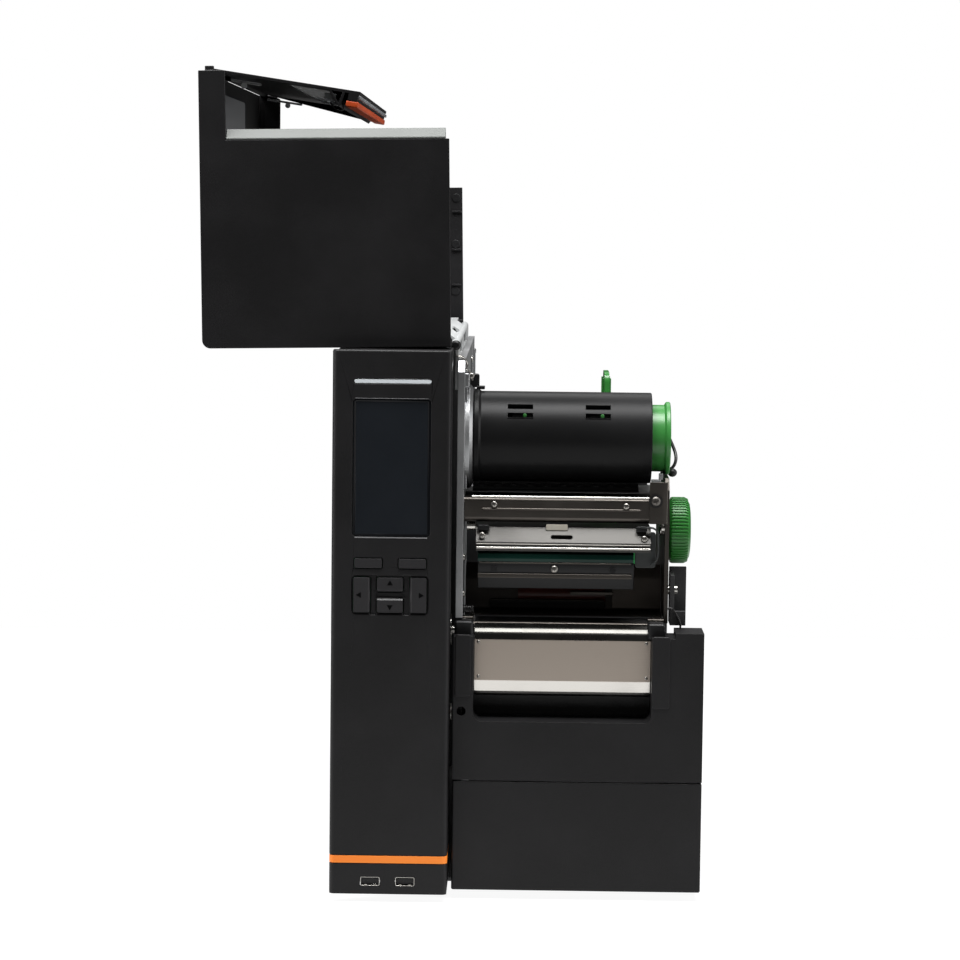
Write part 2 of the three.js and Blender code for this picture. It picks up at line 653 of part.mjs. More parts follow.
function hingeCoverLeaf() {
  const plate = box(5.4, 26, -196, 218, 387.2, 389.1);
  const ears = COVER_KNUCKLES.flatMap(([y0, y1]) => [
    extrudeY(polygon([[0, 390.7], [5, 387.2], [9, 387.2], [9, 389.1], [4.3, 389.1], [2.4, 392.4]]), y0, y1),
    rodY(y0, y1, HINGE.x, HINGE.z, HINGE.radius, 16),
  ]);
  return cut(join(plate, ...ears), hingeBore());
}

// ---- cover, drawn closed ----
function coverShell() {
  const { x0, x1, z1, front, back, legTop, legX } = COVER;
  const corner = 6;
  const endWall = (lip, y0, y1) => {
    const shape = new THREE.Shape();
    shape.moveTo(x0, lip);
    shape.lineTo(legX, lip);
    shape.lineTo(legX, legTop);
    shape.lineTo(x1, legTop);
    shape.absarc(x1 - corner, z1 - corner, corner, 0, Math.PI / 2);
    shape.lineTo(x0, z1);
    return extrudeY(shape, y0, y1, 5);
  };
  const skin = new THREE.Shape();
  skin.moveTo(x0, z1);
  skin.lineTo(x0, z1 - WALL);
  skin.lineTo(x1 - corner, z1 - WALL);
  skin.absarc(x1 - corner, z1 - corner, corner - WALL, Math.PI / 2, 0, true);
  skin.lineTo(x1 - WALL, legTop);
  skin.lineTo(x1, legTop);
  skin.absarc(x1 - corner, z1 - corner, corner, 0, Math.PI / 2);
  const roof = extrudeY(skin, front + 1, back - 1, 5);
  const hingeNotch = box(x0 - 1, 4.6, -204, 226, z1 - WALL - 2, z1 + 1);
  const lugs = [[front + 1, -233], [228.6, back - 1]].map(([y0, y1]) =>
    box(DOOR.x - 3, DOOR.x + 3, y0, y1, DOOR.z - 2.6, legTop + 1));
  const frontWall = endWall(COVER_LIP.front, front, front + WALL);
  const backWall = endWall(COVER_LIP.back, back - WALL, back);
  return cut(join(frontWall, backWall, roof, ...lugs), hingeNotch);
}

function coverTrim() {
  const outline = polygon([
    [COVER.front, COVER_LIP.front - GAP],
    [COVER.front, COVER_LIP.front - 1.4],
    [COVER.front + 7.4, 238.6],
    [COVER.front + 9, 238.6],
    [COVER.front + 9, 249],
    [COVER.front + 3.3, 249],
    [COVER.front + 3.3, COVER_LIP.front - GAP],
  ]);
  return extrudeX(outline, 4, COVER.legX - GAP);
}

// ---- folding lower door, drawn hanging straight; u runs down from the pivot, w runs outwards ----
const doorPlate = (u0, u1, w0, w1, y0 = DOOR.y0, y1 = DOOR.y1) => box(w0, w1, y0, y1, -u1, -u0);
const DOOR_WINDOW = { u0: 52, u1: 80.5, y0: -180, y1: 205 };

function doorPanel() {
  const skin = doorPlate(-3, DOOR.length, 0, DOOR.skin);
  const channel = extrudeY(
    polygon([[0.5, -82], [-9.4, -90], [-10.6, -91.6], [-9.2, -92.6], [0.5, -94.4], [0.5, -92.6],
      [-8, -90.8], [0.5, -84]]),
    DOOR.y0, DOOR.y1,
  );
  const lip = doorPlate(97, DOOR.length - 1, -5, 1);
  const knuckle = rodY(DOOR.y0, DOOR.y1, 0, 0, 2.2, 16);
  const bore = rodY(DOOR.y0 - 1, DOOR.y1 + 1, 0, 0, 1.4, 12);
  const opening = doorPlate(DOOR_WINDOW.u0, DOOR_WINDOW.u1, -1, 3, DOOR_WINDOW.y0, DOOR_WINDOW.y1);
  return cut(join(skin, channel, lip, knuckle), bore, opening);
}

const doorWindow = () =>
  doorPlate(
    DOOR_WINDOW.u0 + GAP, DOOR_WINDOW.u1 - GAP, 0.3, 1.9, DOOR_WINDOW.y0 + GAP, DOOR_WINDOW.y1 - GAP,
  );
const doorGrip = () => doorPlate(96, DOOR.length, -9.6, -5.3);
const doorPin = () => rodY(-232.7, 228.3, 0, 0, 1, 10);

// ---- assembly ----
const printer = new THREE.Group();

printer.add(
  part('base_tray', baseTray(), 'sheetBlack'),
  part('foot_front_left', foot(-66, -180), 'rubber'),
  part('foot_front_right', foot(158, -180), 'rubber'),
  part('foot_rear_left', foot(-66, 205), 'rubber'),
  part('foot_rear_right', foot(158, 205), 'rubber'),
  part('front_tower', frontTower(), 'blackPlastic'),
  part('display_glass', displayGlass(), 'darkGlass'),
  part('display_module', displayModule(), 'silver'),
  part('status_light_bar', statusLightBar(), 'white'),
  part('accent_stripe', accentStripe(), 'orange'),
  part('control_board', controlBoard(), 'board'),
  part('electronics_cover', electronicsCover(), 'blackPlastic'),
  part('rear_panel', rearPanel(), 'sheetBlack'),
  part('power_inlet', powerInlet(), 'blackSatin'),
  part('power_rocker', powerRocker(), 'blackSatin'),
  part('network_port', networkPort(), 'silver'),
  part('main_board', mainBoard(), 'board'),
  part('power_supply', powerSupply(), 'steel'),
  part('drive_motor', driveMotor(), 'sheetBlack'),
  part('motor_pulley', motorPulley(), 'aluminium'),
  part('drive_belt', driveBelt(), 'rubber'),
  part('centre_frame', centreFrame(), 'dieCast'),
  part('lower_front_cover', lowerFrontCover(), 'blackPlastic'),
  part('bottom_front_cover', bottomFrontCover(), 'blackPlastic'),
  part('right_side_panel', rightSidePanel(), 'blackPlastic'),
  part('rear_wall', rearWall(), 'blackPlastic'),
  part('tear_plate', tearPlate(), 'chrome'),
  part('platen_frame', platenFrame(), 'steel'),
  part('platen_roller', platenRoller(), 'rubber'),
  part('platen_shaft', platenShaft(), 'steel'),
  part('head_bracket', headBracket(), 'steel'),
  part('side_plate', sidePlate(), 'steel'),
  part('head_plate', headPlate(), 'aluminium'),
  part('thermal_strip', thermalStrip(), 'green'),
  part('head_block', headBlock(), 'blackSatin'),
  part('head_knob', headKnob(), 'green'),
  part('ribbon_comb', ribbonComb(), 'steel'),
  part('latch_bracket', latchBracket(), 'blackSatin'),
  part('take_up_drum', takeUpDrum(), 'blackSatin'),
  part('take_up_cap', takeUpCap(), 'green'),
  part('supply_drum', supplyDrum(), 'blackSatin'),
  part('media_spindle', mediaSpindle(), 'blackSatin'),
  part('media_guard', mediaGuard(), 'green'),
  part('hinge_base_leaf', hingeBaseLeaf(), 'steel'),
  part('hinge_pin', hingePin(), 'steel'),
);

for (const [name, socket] of Object.entries(SOCKETS)) {
  printer.add(part(name, usbPort(socket), 'silver'));
}
for (const [name, key] of Object.entries(KEYS)) {
  printer.add(part(name, keyCap(key), 'keyGrey'));
}

// the cover turns about the hinge line, and the door about the pin at the cover's free edge
const cover = new THREE.Group();
const coverDrawing = new THREE.Group();
cover.position.set(HINGE.x, 0, HINGE.z);
cover.rotation.y = radians(-OPEN_ANGLE);
coverDrawing.position.set(-HINGE.x, 0, -HINGE.z);
coverDrawing.add(
  part('cover_shell', coverShell(), 'blackPlastic'),
  part('cover_trim', coverTrim(), 'silver'),
  part('hinge_cover_leaf', hingeCoverLeaf(), 'steel'),
);

const door = new THREE.Group();
door.position.set(DOOR.x, 0, DOOR.z);
door.rotation.y = radians(FOLD_ANGLE);
door.add(
  part('door_panel', doorPanel(), 'blackPlastic'),
  part('door_window', doorWindow(), 'clear'),
  part('door_grip', doorGrip(), 'orange'),
  part('door_pin', doorPin(), 'steel'),
);

coverDrawing.add(door);
cover.add(coverDrawing);
printer.add(cover);

export default printer;
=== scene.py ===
"""Looks for an industrial label printer, seen with its bi-fold media cover swung open."""

import json
import math

import bpy
from mathutils import Matrix, Vector


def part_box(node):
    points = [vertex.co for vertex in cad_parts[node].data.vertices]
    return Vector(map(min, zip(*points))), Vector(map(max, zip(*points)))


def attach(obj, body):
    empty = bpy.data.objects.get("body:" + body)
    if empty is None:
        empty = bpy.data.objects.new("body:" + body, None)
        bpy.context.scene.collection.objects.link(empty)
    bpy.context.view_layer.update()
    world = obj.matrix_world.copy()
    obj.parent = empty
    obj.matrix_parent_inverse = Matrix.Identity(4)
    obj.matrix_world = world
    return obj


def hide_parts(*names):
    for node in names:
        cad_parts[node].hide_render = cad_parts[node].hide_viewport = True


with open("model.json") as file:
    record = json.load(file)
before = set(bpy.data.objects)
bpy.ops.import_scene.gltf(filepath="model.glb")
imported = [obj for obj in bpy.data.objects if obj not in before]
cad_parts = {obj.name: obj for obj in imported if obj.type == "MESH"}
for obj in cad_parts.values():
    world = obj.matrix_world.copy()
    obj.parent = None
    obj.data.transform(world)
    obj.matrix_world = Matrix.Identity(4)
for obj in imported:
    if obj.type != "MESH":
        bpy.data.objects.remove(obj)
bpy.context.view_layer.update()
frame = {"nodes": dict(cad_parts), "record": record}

# ---------------------------------------------------------------------------------------
# Studio: a plain pale floor, a white surround, soft boxes at both sides, overhead and behind,
# and one long-lens camera a little above the middle of the printer, turned slightly left.
# ---------------------------------------------------------------------------------------
bpy.context.scene.view_settings.view_transform = "Standard"

camera_data = bpy.data.cameras.new("camera")
camera_data.lens = 116.4
camera_data.sensor_width = 36
camera_data.clip_end = 50
camera = bpy.data.objects.new("camera", camera_data)
bpy.context.scene.collection.objects.link(camera)
look_down = math.radians(90 - 4.935)
turn_left = math.radians(0.701)
roll = math.radians(0.659)
aim = (Matrix.Rotation(turn_left, 4, "Z") @ Matrix.Rotation(look_down, 4, "X")
       @ Matrix.Rotation(roll, 4, "Z"))
camera.matrix_world = Matrix.Translation((0.0468, -2.427, 0.4897)) @ aim
bpy.context.scene.camera = camera

world = bpy.data.worlds.new("surround")
bpy.context.scene.world = world
world.use_nodes = True
tree = world.node_tree
tree.nodes.clear()
backdrop = tree.nodes.new("ShaderNodeBackground")
backdrop.inputs["Color"].default_value = (1, 1, 1, 1)
backdrop.inputs["Strength"].default_value = 1.0
lighting = tree.nodes.new("ShaderNodeBackground")
lighting.inputs["Color"].default_value = (1, 0.99, 0.975, 1)
lighting.inputs["Strength"].default_value = 0.06
ray = tree.nodes.new("ShaderNodeLightPath")
mix = tree.nodes.new("ShaderNodeMixShader")
out = tree.nodes.new("ShaderNodeOutputWorld")
tree.links.new(ray.outputs["Is Camera Ray"], mix.inputs["Fac"])
tree.links.new(lighting.outputs[0], mix.inputs[1])
tree.links.new(backdrop.outputs[0], mix.inputs[2])
tree.links.new(mix.outputs[0], out.inputs["Surface"])


def soft_box(name, place, target, width, height, watts):
    data = bpy.data.lights.new(name, "AREA")
    data.shape = "RECTANGLE"
    data.size = width
    data.size_y = height
    data.energy = watts
    lamp = bpy.data.objects.new(name, data)
    bpy.context.scene.collection.objects.link(lamp)
    lamp.location = place
    lamp.rotation_euler = (Vector(target) - Vector(place)).to_track_quat("-Z", "Y").to_euler()


soft_box("left_box", (-1.9, -0.4, 0.8), (0, 0, 0.3), 0.6, 1.5, 17)
soft_box("right_box", (2.0, -0.3, 0.8), (0, 0, 0.3), 0.6, 1.5, 15)
soft_box("top_box", (0.0, -0.45, 1.85), (0, -0.15, 0.3), 1.9, 0.7, 70)
soft_box("back_box", (0.2, 2.0, 2.4), (0, 0, 0.3), 2.2, 1.2, 18)

bpy.ops.mesh.primitive_plane_add(size=1)
floor = bpy.context.object
floor.name = "floor"
floor.data.transform(Matrix.Diagonal((2.2, 2.3, 1, 1)))
pale = bpy.data.materials.new("pale_floor")
pale.use_nodes = True
pale_shader = pale.node_tree.nodes["Principled BSDF"]
pale_shader.inputs["Base Color"].default_value = (0.12, 0.12, 0.12, 1)
pale_shader.inputs["Roughness"].default_value = 0.9
pale_shader.inputs["Emission Color"].default_value = (1, 1, 1, 1)
pale_shader.inputs["Emission Strength"].default_value = 0.93
floor.data.materials.append(pale)


# ---------------------------------------------------------------------------------------
# Moulded black shells: injection-moulded, with a fine spark-eroded grain and soft edges.
# Each one takes its outline from the frame, gets its edges broken, and is grained all over.
# ---------------------------------------------------------------------------------------
def select_none():
    if bpy.context.object and bpy.context.object.mode != "OBJECT":
        bpy.ops.object.mode_set(mode="OBJECT")
    bpy.ops.object.select_all(action="DESELECT")


def make_active(piece):
    select_none()
    piece.select_set(True)
    bpy.context.view_layer.objects.active = piece


def edge_broken(piece, width, segments=2, angle=35, clamp=True):
    """Rounds every sharp edge of a piece and shades it smooth, its flat faces staying flat."""
    make_active(piece)
    if width:
        bevel = piece.modifiers.new("edges", "BEVEL")
        bevel.width = width
        bevel.segments = segments
        bevel.limit_method = "ANGLE"
        bevel.angle_limit = math.radians(angle)
        bevel.use_clamp_overlap = clamp
        bpy.ops.object.modifier_apply(modifier="edges")
    bpy.ops.object.shade_smooth_by_angle(angle=math.radians(40))
    flat = piece.modifiers.new("flat faces", "WEIGHTED_NORMAL")
    flat.keep_sharp = True
    flat.weight = 100
    bpy.ops.object.modifier_apply(modifier="flat faces")
    return piece


def welded(piece, triangles=False):
    """Merges doubled corners and makes flat faces whole, or cuts them into even triangles."""
    make_active(piece)
    bpy.ops.object.mode_set(mode="EDIT")
    bpy.ops.mesh.select_all(action="SELECT")
    bpy.ops.mesh.remove_doubles(threshold=0.00002)
    bpy.ops.mesh.dissolve_limited(angle_limit=math.radians(0.6))
    if triangles:
        bpy.ops.mesh.quads_convert_to_tris(quad_method="BEAUTY", ngon_method="BEAUTY")
    bpy.ops.object.mode_set(mode="OBJECT")
    return piece


def solid_of(node, name):
    """A merged copy of a frame node's mesh, with its flat faces made whole again."""
    mesh = frame["nodes"][node].data.copy()
    mesh.materials.clear()
    piece = bpy.data.objects.new(name, mesh)
    bpy.context.scene.collection.objects.link(piece)
    return welded(piece)


def fitted(piece, body, slot, material, *nodes):
    """Hands a finished piece its material, its body and the frame nodes that it stands for."""
    piece.data.materials.clear()
    piece.data.materials.append(material)
    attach(piece, body)
    if nodes:
        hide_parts(*nodes)
    return piece


def new_group(name, inputs, outputs):
    group = bpy.data.node_groups.new(name, "ShaderNodeTree")
    for label, kind, value in inputs:
        socket = group.interface.new_socket(name=label, in_out="INPUT", socket_type=kind)
        socket.default_value = value
    for label, kind in outputs:
        group.interface.new_socket(name=label, in_out="OUTPUT", socket_type=kind)
    start = group.nodes.new("NodeGroupInput")
    end = group.nodes.new("NodeGroupOutput")
    return group, start, end


def blended(nodes, links, factor, first, second):
    """A colour mix whose ends are sockets or plain colours."""
    node = nodes.new("ShaderNodeMix")
    node.data_type = "RGBA"
    links.new(factor, node.inputs["Factor"])
    for slot, value in ((6, first), (7, second)):
        if hasattr(value, "is_output"):
            links.new(value, node.inputs[slot])
        else:
            node.inputs[slot].default_value = value
    return node.outputs[2]


def spread(nodes, links, value, low, high, out_low, out_high):
    """Maps a value from one range to another; the new ends may be sockets."""
    node = nodes.new("ShaderNodeMapRange")
    links.new(value, node.inputs["Value"])
    for label, end in (("From Min", low), ("From Max", high), ("To Min", out_low), ("To Max", out_high)):
        if hasattr(end, "is_output"):
            links.new(end, node.inputs[label])
        else:
            node.inputs[label].default_value = end
    return node.outputs["Result"]


def noise(nodes, links, vector, scale, detail=3, roughness=0.55):
    node = nodes.new("ShaderNodeTexNoise")
    links.new(vector, node.inputs["Vector"])
    node.inputs["Scale"].default_value = scale
    node.inputs["Detail"].default_value = detail
    node.inputs["Roughness"].default_value = roughness
    return node.outputs["Fac"]


def build_mould_grain():
    """Fine pebble grain with faint cloudy handling marks, for moulded plastic."""
    group, start, end = new_group(
        "mould_grain",
        [("Colour", "NodeSocketColor", (0.02, 0.02, 0.02, 1)),
         ("Marks", "NodeSocketColor", (0.03, 0.03, 0.03, 1)),
         ("Roughness", "NodeSocketFloat", 0.5), ("Grain Size", "NodeSocketFloat", 1800.0),
         ("Sheen Swing", "NodeSocketFloat", 0.08)],
        [("Colour", "NodeSocketColor"), ("Roughness", "NodeSocketFloat"), ("Height", "NodeSocketFloat")],
    )
    nodes, links = group.nodes, group.links
    place = nodes.new("ShaderNodeTexCoord").outputs["Object"]
    pebbles = nodes.new("ShaderNodeTexVoronoi")
    links.new(place, pebbles.inputs["Vector"])
    links.new(start.outputs["Grain Size"], pebbles.inputs["Scale"])
    clouds = noise(nodes, links, place, 14, 4)
    specks = noise(nodes, links, place, 2600, 1)
    lighter = spread(nodes, links, clouds, 0.42, 0.72, 0.0, 1.0)
    speckle = spread(nodes, links, specks, 0.45, 0.75, 0.0, 0.6)
    tinted = blended(nodes, links, lighter, start.outputs["Colour"], start.outputs["Marks"])
    colour = blended(nodes, links, speckle, tinted, start.outputs["Marks"])
    links.new(colour, end.inputs["Colour"])
    swing = nodes.new("ShaderNodeMath")
    swing.operation = "MULTIPLY_ADD"
    centred = spread(nodes, links, clouds, 0.3, 0.7, -0.5, 0.5)
    links.new(centred, swing.inputs[0])
    links.new(start.outputs["Sheen Swing"], swing.inputs[1])
    links.new(start.outputs["Roughness"], swing.inputs[2])
    links.new(swing.outputs[0], end.inputs["Roughness"])
    links.new(pebbles.outputs["Distance"], end.inputs["Height"])
    return group


mould_grain = build_mould_grain()


def surfaced(name, group, settings, bump, bump_distance, metallic=0.0, **fixed):
    """A material whose colour, roughness and relief come from one of the surface groups."""
    material = bpy.data.materials.new(name)
    material.use_nodes = True
    nodes, links = material.node_tree.nodes, material.node_tree.links
    shader = nodes["Principled BSDF"]
    surface = nodes.new("ShaderNodeGroup")
    surface.node_tree = group
    for label, value in settings.items():
        surface.inputs[label].default_value = value
    links.new(surface.outputs["Colour"], shader.inputs["Base Color"])
    links.new(surface.outputs["Roughness"], shader.inputs["Roughness"])
    relief = nodes.new("ShaderNodeBump")
    relief.inputs["Strength"].default_value = bump
    relief.inputs["Distance"].default_value = bump_distance
    links.new(surface.outputs["Height"], relief.inputs["Height"])
    links.new(relief.outputs["Normal"], shader.inputs["Normal"])
    shader.inputs["Metallic"].default_value = metallic
    for label, value in fixed.items():
        shader.inputs[label.replace("_", " ")].default_value = value
    return material


def moulded(name, colour, marks, roughness, grain, swing, bump, depth, **fixed):
    """A moulded or coated skin: the pebble grain in one colour, clouded with a second."""
    return surfaced(
        name, mould_grain,
        {"Colour": (*colour, 1), "Marks": (*marks, 1), "Roughness": roughness, "Grain Size": grain,
         "Sheen Swing": swing},
        bump=bump, bump_distance=depth, **fixed,
    )


shell_black = moulded("shell_black", (0.0078, 0.0076, 0.0080), (0.0130, 0.0126, 0.0134), 0.44,
                      grain=1500.0, swing=0.07, bump=0.35, depth=0.0001, Specular_IOR_Level=0.23)
shell_edge = 0.0013
for node, body in (
    ("lower_front_cover", "chassis"),
    ("bottom_front_cover", "chassis"),
    ("right_side_panel", "chassis"),
    ("rear_wall", "chassis"),
    ("cover_shell", "cover"),
    ("door_panel", "door"),
):
    shell = edge_broken(solid_of(node, node + "_moulding"), shell_edge, 3)
    fitted(shell, body, "black_plastic", shell_black, node)


# ---------------------------------------------------------------------------------------
# Front tower: one tall moulding. The arrow keys share a shallow rounded recess with a deep
# H-shaped gap between them; the screen, light bar, soft keys and sockets have their own holes.
# Every helper below takes millimetres, and Blender's own unit is the metre.
# ---------------------------------------------------------------------------------------
MM = 0.001
AXES = {"X": Vector((1, 0, 0)), "Y": Vector((0, 1, 0)), "Z": Vector((0, 0, 1))}


def choose(piece, kind, test):
    """In edit mode, selects vertices, edges or faces by their middle (mm) and direction."""
    bpy.ops.object.mode_set(mode="EDIT")
    bpy.ops.mesh.select_mode(type=kind)
    bpy.ops.mesh.select_all(action="DESELECT")
    bpy.ops.object.mode_set(mode="OBJECT")
    mesh = piece.data
    corners = mesh.vertices
    if kind == "FACE":
        for face in mesh.polygons:
            face.select = bool(test(face.center / MM, face.normal))
    elif kind == "EDGE":
        for edge in mesh.edges:
            first, second = (corners[i].co for i in edge.vertices)
            edge.select = bool(test((first + second) / 2 / MM, (second - first).normalized()))
    else:
        for corner in corners:
            corner.select = bool(test(corner.co / MM, corner.normal))
    bpy.ops.object.mode_set(mode="EDIT")


def block(name, x, y, z, edge=0.4, corners=0.0, axis="Y", segments=3):
    """A box between pairs of coordinates, its corners along one axis rounded, its edges broken."""
    select_none()
    spans = (x, y, z)
    middle = [sum(span) / 2 * MM for span in spans]
    size = [(span[1] - span[0]) * MM for span in spans]
    bpy.ops.mesh.primitive_cube_add(size=1, location=middle, scale=size)
    piece = bpy.context.object
    piece.name = name
    bpy.ops.object.transform_apply(location=True, rotation=True, scale=True)
    if corners:
        choose(piece, "EDGE", lambda place, way: abs(way.dot(AXES[axis])) > 0.99)
        bpy.ops.mesh.bevel(offset=corners * MM, segments=6, affect="EDGES")
        bpy.ops.object.mode_set(mode="OBJECT")
    return edge_broken(piece, edge * MM, segments)


def cut_away(piece, *cutters):
    for cutter in cutters:
        make_active(piece)
        cut = piece.modifiers.new("cut", "BOOLEAN")
        cut.operation = "DIFFERENCE"
        cut.solver = "EXACT"
        cut.object = cutter
        bpy.ops.object.modifier_apply(modifier="cut")
        bpy.data.objects.remove(cutter)
    return piece


def joined(name, *pieces):
    select_none()
    for piece in pieces:
        piece.select_set(True)
    bpy.context.view_layer.objects.active = pieces[0]
    bpy.ops.object.join()
    pieces[0].name = name
    return pieces[0]


face_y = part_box("front_tower")[0][1] / MM
tower = solid_of("front_tower", "front_tower_moulding")
foot_round = 2.6
top_round = 1.7
foot_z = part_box("front_tower")[0][2] / MM
choose(tower, "EDGE", lambda place, way: abs(way.y) > 0.99 and abs(place.z - foot_z) < 0.1)
bpy.ops.mesh.bevel(offset=foot_round * MM, segments=6, affect="EDGES")
top_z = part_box("front_tower")[1][2] / MM
choose(tower, "EDGE",
       lambda place, way: abs(way.z) < 0.1 and place.z > top_z - 0.1 and place.y < face_y + 4)
bpy.ops.mesh.bevel(offset=top_round * MM, segments=6, affect="EDGES")
bpy.ops.object.mode_set(mode="OBJECT")
pad_x0, pad_z0 = (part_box("key_left")[0][i] / MM for i in (0, 2))
pad_x1, pad_z1 = (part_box("key_right")[1][i] / MM for i in (0, 2))
pad_rim = 1.3
pad_depth = 0.6
gap_rim = 1.9
gap_y = (face_y - 2, face_y + 1.6)
gap_x = ((-55.9, -52.0), (-32.7, -28.8))
gap_z = (218.1, 221.8)
cutters = [
    block("pad_recess", (pad_x0 - pad_rim, pad_x1 + pad_rim), (face_y - 2, face_y + pad_depth),
          (pad_z0 - pad_rim, pad_z1 + pad_rim), 0, 3.0),
    block("row_gap", (gap_x[0][0], gap_x[1][1]), gap_y, gap_z, 0),
]
for span in gap_x:
    cutters.append(block("column_gap", span, gap_y, (pad_z0 - gap_rim, pad_z1 + gap_rim), 0))
welded(cut_away(tower, *cutters), triangles=True)
edge_broken(tower, 0.00055, 3, clamp=False)
fitted(tower, "chassis", "black_plastic", shell_black, "front_tower")

# ---------------------------------------------------------------------------------------
# Screen: a dark touch panel bonded behind the tower's window, switched off. The lit area
# reads a shade greyer than the printed border round it, and the glass has faint smears. Grey
# strips above and below the window are painted highlights along the window's edges.
# ---------------------------------------------------------------------------------------
glass = edge_broken(solid_of("display_glass", "touch_panel"), 0.0003, 3)
screen_glass = moulded("screen_glass", (0.0115, 0.0138, 0.0172), (0.0140, 0.0165, 0.0205), 0.20,
                       grain=900.0, swing=0.10, bump=0.01, depth=0.00002, Specular_IOR_Level=0.2)
fitted(glass, "chassis", "dark_glass", screen_glass, "display_glass")
screen_low, screen_high = (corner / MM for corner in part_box("display_glass"))
border = 1.9
active = block(
    "screen_border", (screen_low.x + 0.4, screen_high.x - 0.4), (screen_low.y - 0.06, screen_low.y + 0.1),
    (screen_low.z + 0.4, screen_high.z - 0.4), 0.02, 2.2,
)
cut_away(active, block("lit_area", (screen_low.x + border, screen_high.x - border),
                       (screen_low.y - 1, screen_low.y + 1),
                       (screen_low.z + border, screen_high.z - border), 0))
border_ink = moulded("border_ink", (0.0045, 0.0050, 0.0060), (0.0065, 0.0070, 0.0080), 0.20,
                     grain=900.0, swing=0.06, bump=0.01, depth=0.00002, Specular_IOR_Level=0.15)
fitted(active, "chassis", "dark_glass", border_ink)
# Painted highlights: plain grey strips at the window's top and bottom edges stand in for their bright
# edge highlights.
lip_highlight_grey = moulded("lip_highlight_grey", (0.16, 0.16, 0.165), (0.22, 0.22, 0.225), 0.32,
                   grain=1500.0, swing=0.08, bump=0.1, depth=0.00004)
lower_lip = block("screen_lower_highlight", (screen_low.x + 1.6, screen_high.x - 1.6),
                  (face_y - 0.12, face_y + 0.6), (screen_low.z - 1.1, screen_low.z - 0.35), 0.1)
upper_highlight = block("screen_upper_highlight", (screen_low.x + 1.6, screen_high.x - 1.6),
                  (face_y - 0.08, face_y + 0.6), (screen_high.z + 0.25, screen_high.z + 0.6), 0.06)
fitted(joined("screen_edge_highlights", lower_lip, upper_highlight), "chassis", "black_plastic", lip_highlight_grey)

# ---------------------------------------------------------------------------------------
# Light bar: a frosted light guide pressed into its slot, cloudy white and unlit.
# ---------------------------------------------------------------------------------------
lens = edge_broken(solid_of("status_light_bar", "light_guide"), 0.0004, 3)
frosted_white = moulded("frosted_white", (0.68, 0.73, 0.76), (0.76, 0.81, 0.84), 0.38,
                        grain=2600.0, swing=0.05, bump=0.05, depth=0.00003)
fitted(lens, "chassis", "white_lens", frosted_white, "status_light_bar")

# ---------------------------------------------------------------------------------------
# Keys: six hard keycaps. The four arrow keys are cut away in a slope towards the gap in the
# middle of the pad, their slopes in a lighter copy of the cap colour as painted sheen, and
# each carries a small black triangle.
key_cap = moulded("key_cap", (0.0165, 0.0158, 0.0168), (0.024, 0.023, 0.025), 0.36,
                  grain=2200.0, swing=0.06, bump=0.3, depth=0.00006, Specular_IOR_Level=0.35)
arrow_black = moulded("arrow_black", (0.0012, 0.0012, 0.0013), (0.002, 0.002, 0.002), 0.85,
                      grain=2200.0, swing=0.05, bump=0.2, depth=0.00005, Specular_IOR_Level=0.05)
# Painted sheen: a lighter copy of the key cap's plastic, put on the sloped faces only.
key_slope_sheen = moulded("key_slope_sheen", (0.034, 0.033, 0.035), (0.044, 0.043, 0.045), 0.40,
                    grain=2200.0, swing=0.06, bump=0.3, depth=0.00006, Specular_IOR_Level=0.35)
slope_width = 2.6
slope_drop = 1.25
for node, body, toward in (
    ("key_soft_left", "soft_key_left", None),
    ("key_soft_right", "soft_key_right", None),
    ("key_left", "left_key", (1, 0)),
    ("key_right", "right_key", (-1, 0)),
    ("key_up", "up_key", (0, -1)),
    ("key_down", "down_key", (0, 1)),
):
    cap = solid_of(node, node + "_cap")
    low, high = (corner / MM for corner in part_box(node))
    if toward:
        way_x, way_z = toward
        rim = Vector((high.x if way_x > 0 else low.x, low.y + slope_drop, high.z if way_z > 0 else low.z))
        bpy.ops.object.mode_set(mode="EDIT")
        bpy.ops.mesh.select_all(action="SELECT")
        bpy.ops.mesh.bisect(
            plane_co=rim * MM, plane_no=(way_x * slope_drop, -slope_width, way_z * slope_drop),
            use_fill=True, clear_outer=True,
        )
        bpy.ops.object.mode_set(mode="OBJECT")
    edge_broken(cap, 0.00045, 3, 12)
    fitted(cap, body, "key_grey", key_cap, node)
    if toward:
        cap.data.materials.append(key_slope_sheen)
        for face in cap.data.polygons:
            if 0.3 < face.normal.dot(Vector((way_x, 0, way_z))) < 0.6:
                face.material_index = 1
        select_none()
        x = (low.x + high.x) / 2 - way_x * 1.7
        z = (low.z + high.z) / 2 - way_z * 0.9
        bpy.ops.mesh.primitive_cylinder_add(
            vertices=3, radius=2.4 * MM, depth=0.4 * MM, location=(x * MM, (low.y + 0.08) * MM, z * MM),
            rotation=(math.radians(90), math.atan2(-way_x, -way_z), 0),
        )
        arrow = bpy.context.object
        arrow.name = node + "_arrow"
        bpy.ops.object.transform_apply(location=True, rotation=True, scale=True)
        edge_broken(arrow, 0.00004, 1)
        fitted(arrow, body, "key_grey", arrow_black)

# ---------------------------------------------------------------------------------------
# Stripe: a satin orange band let into a groove round the foot of the tower.
# ---------------------------------------------------------------------------------------
stripe = edge_broken(solid_of("accent_stripe", "orange_band"), 0.0003, 2)
orange_satin = moulded("orange_satin", (1.0, 0.235, 0.012), (1.0, 0.27, 0.020), 0.46,
                       grain=1900.0, swing=0.06, bump=0.15, depth=0.00005)
fitted(stripe, "chassis", "orange_plastic", orange_satin, "accent_stripe")

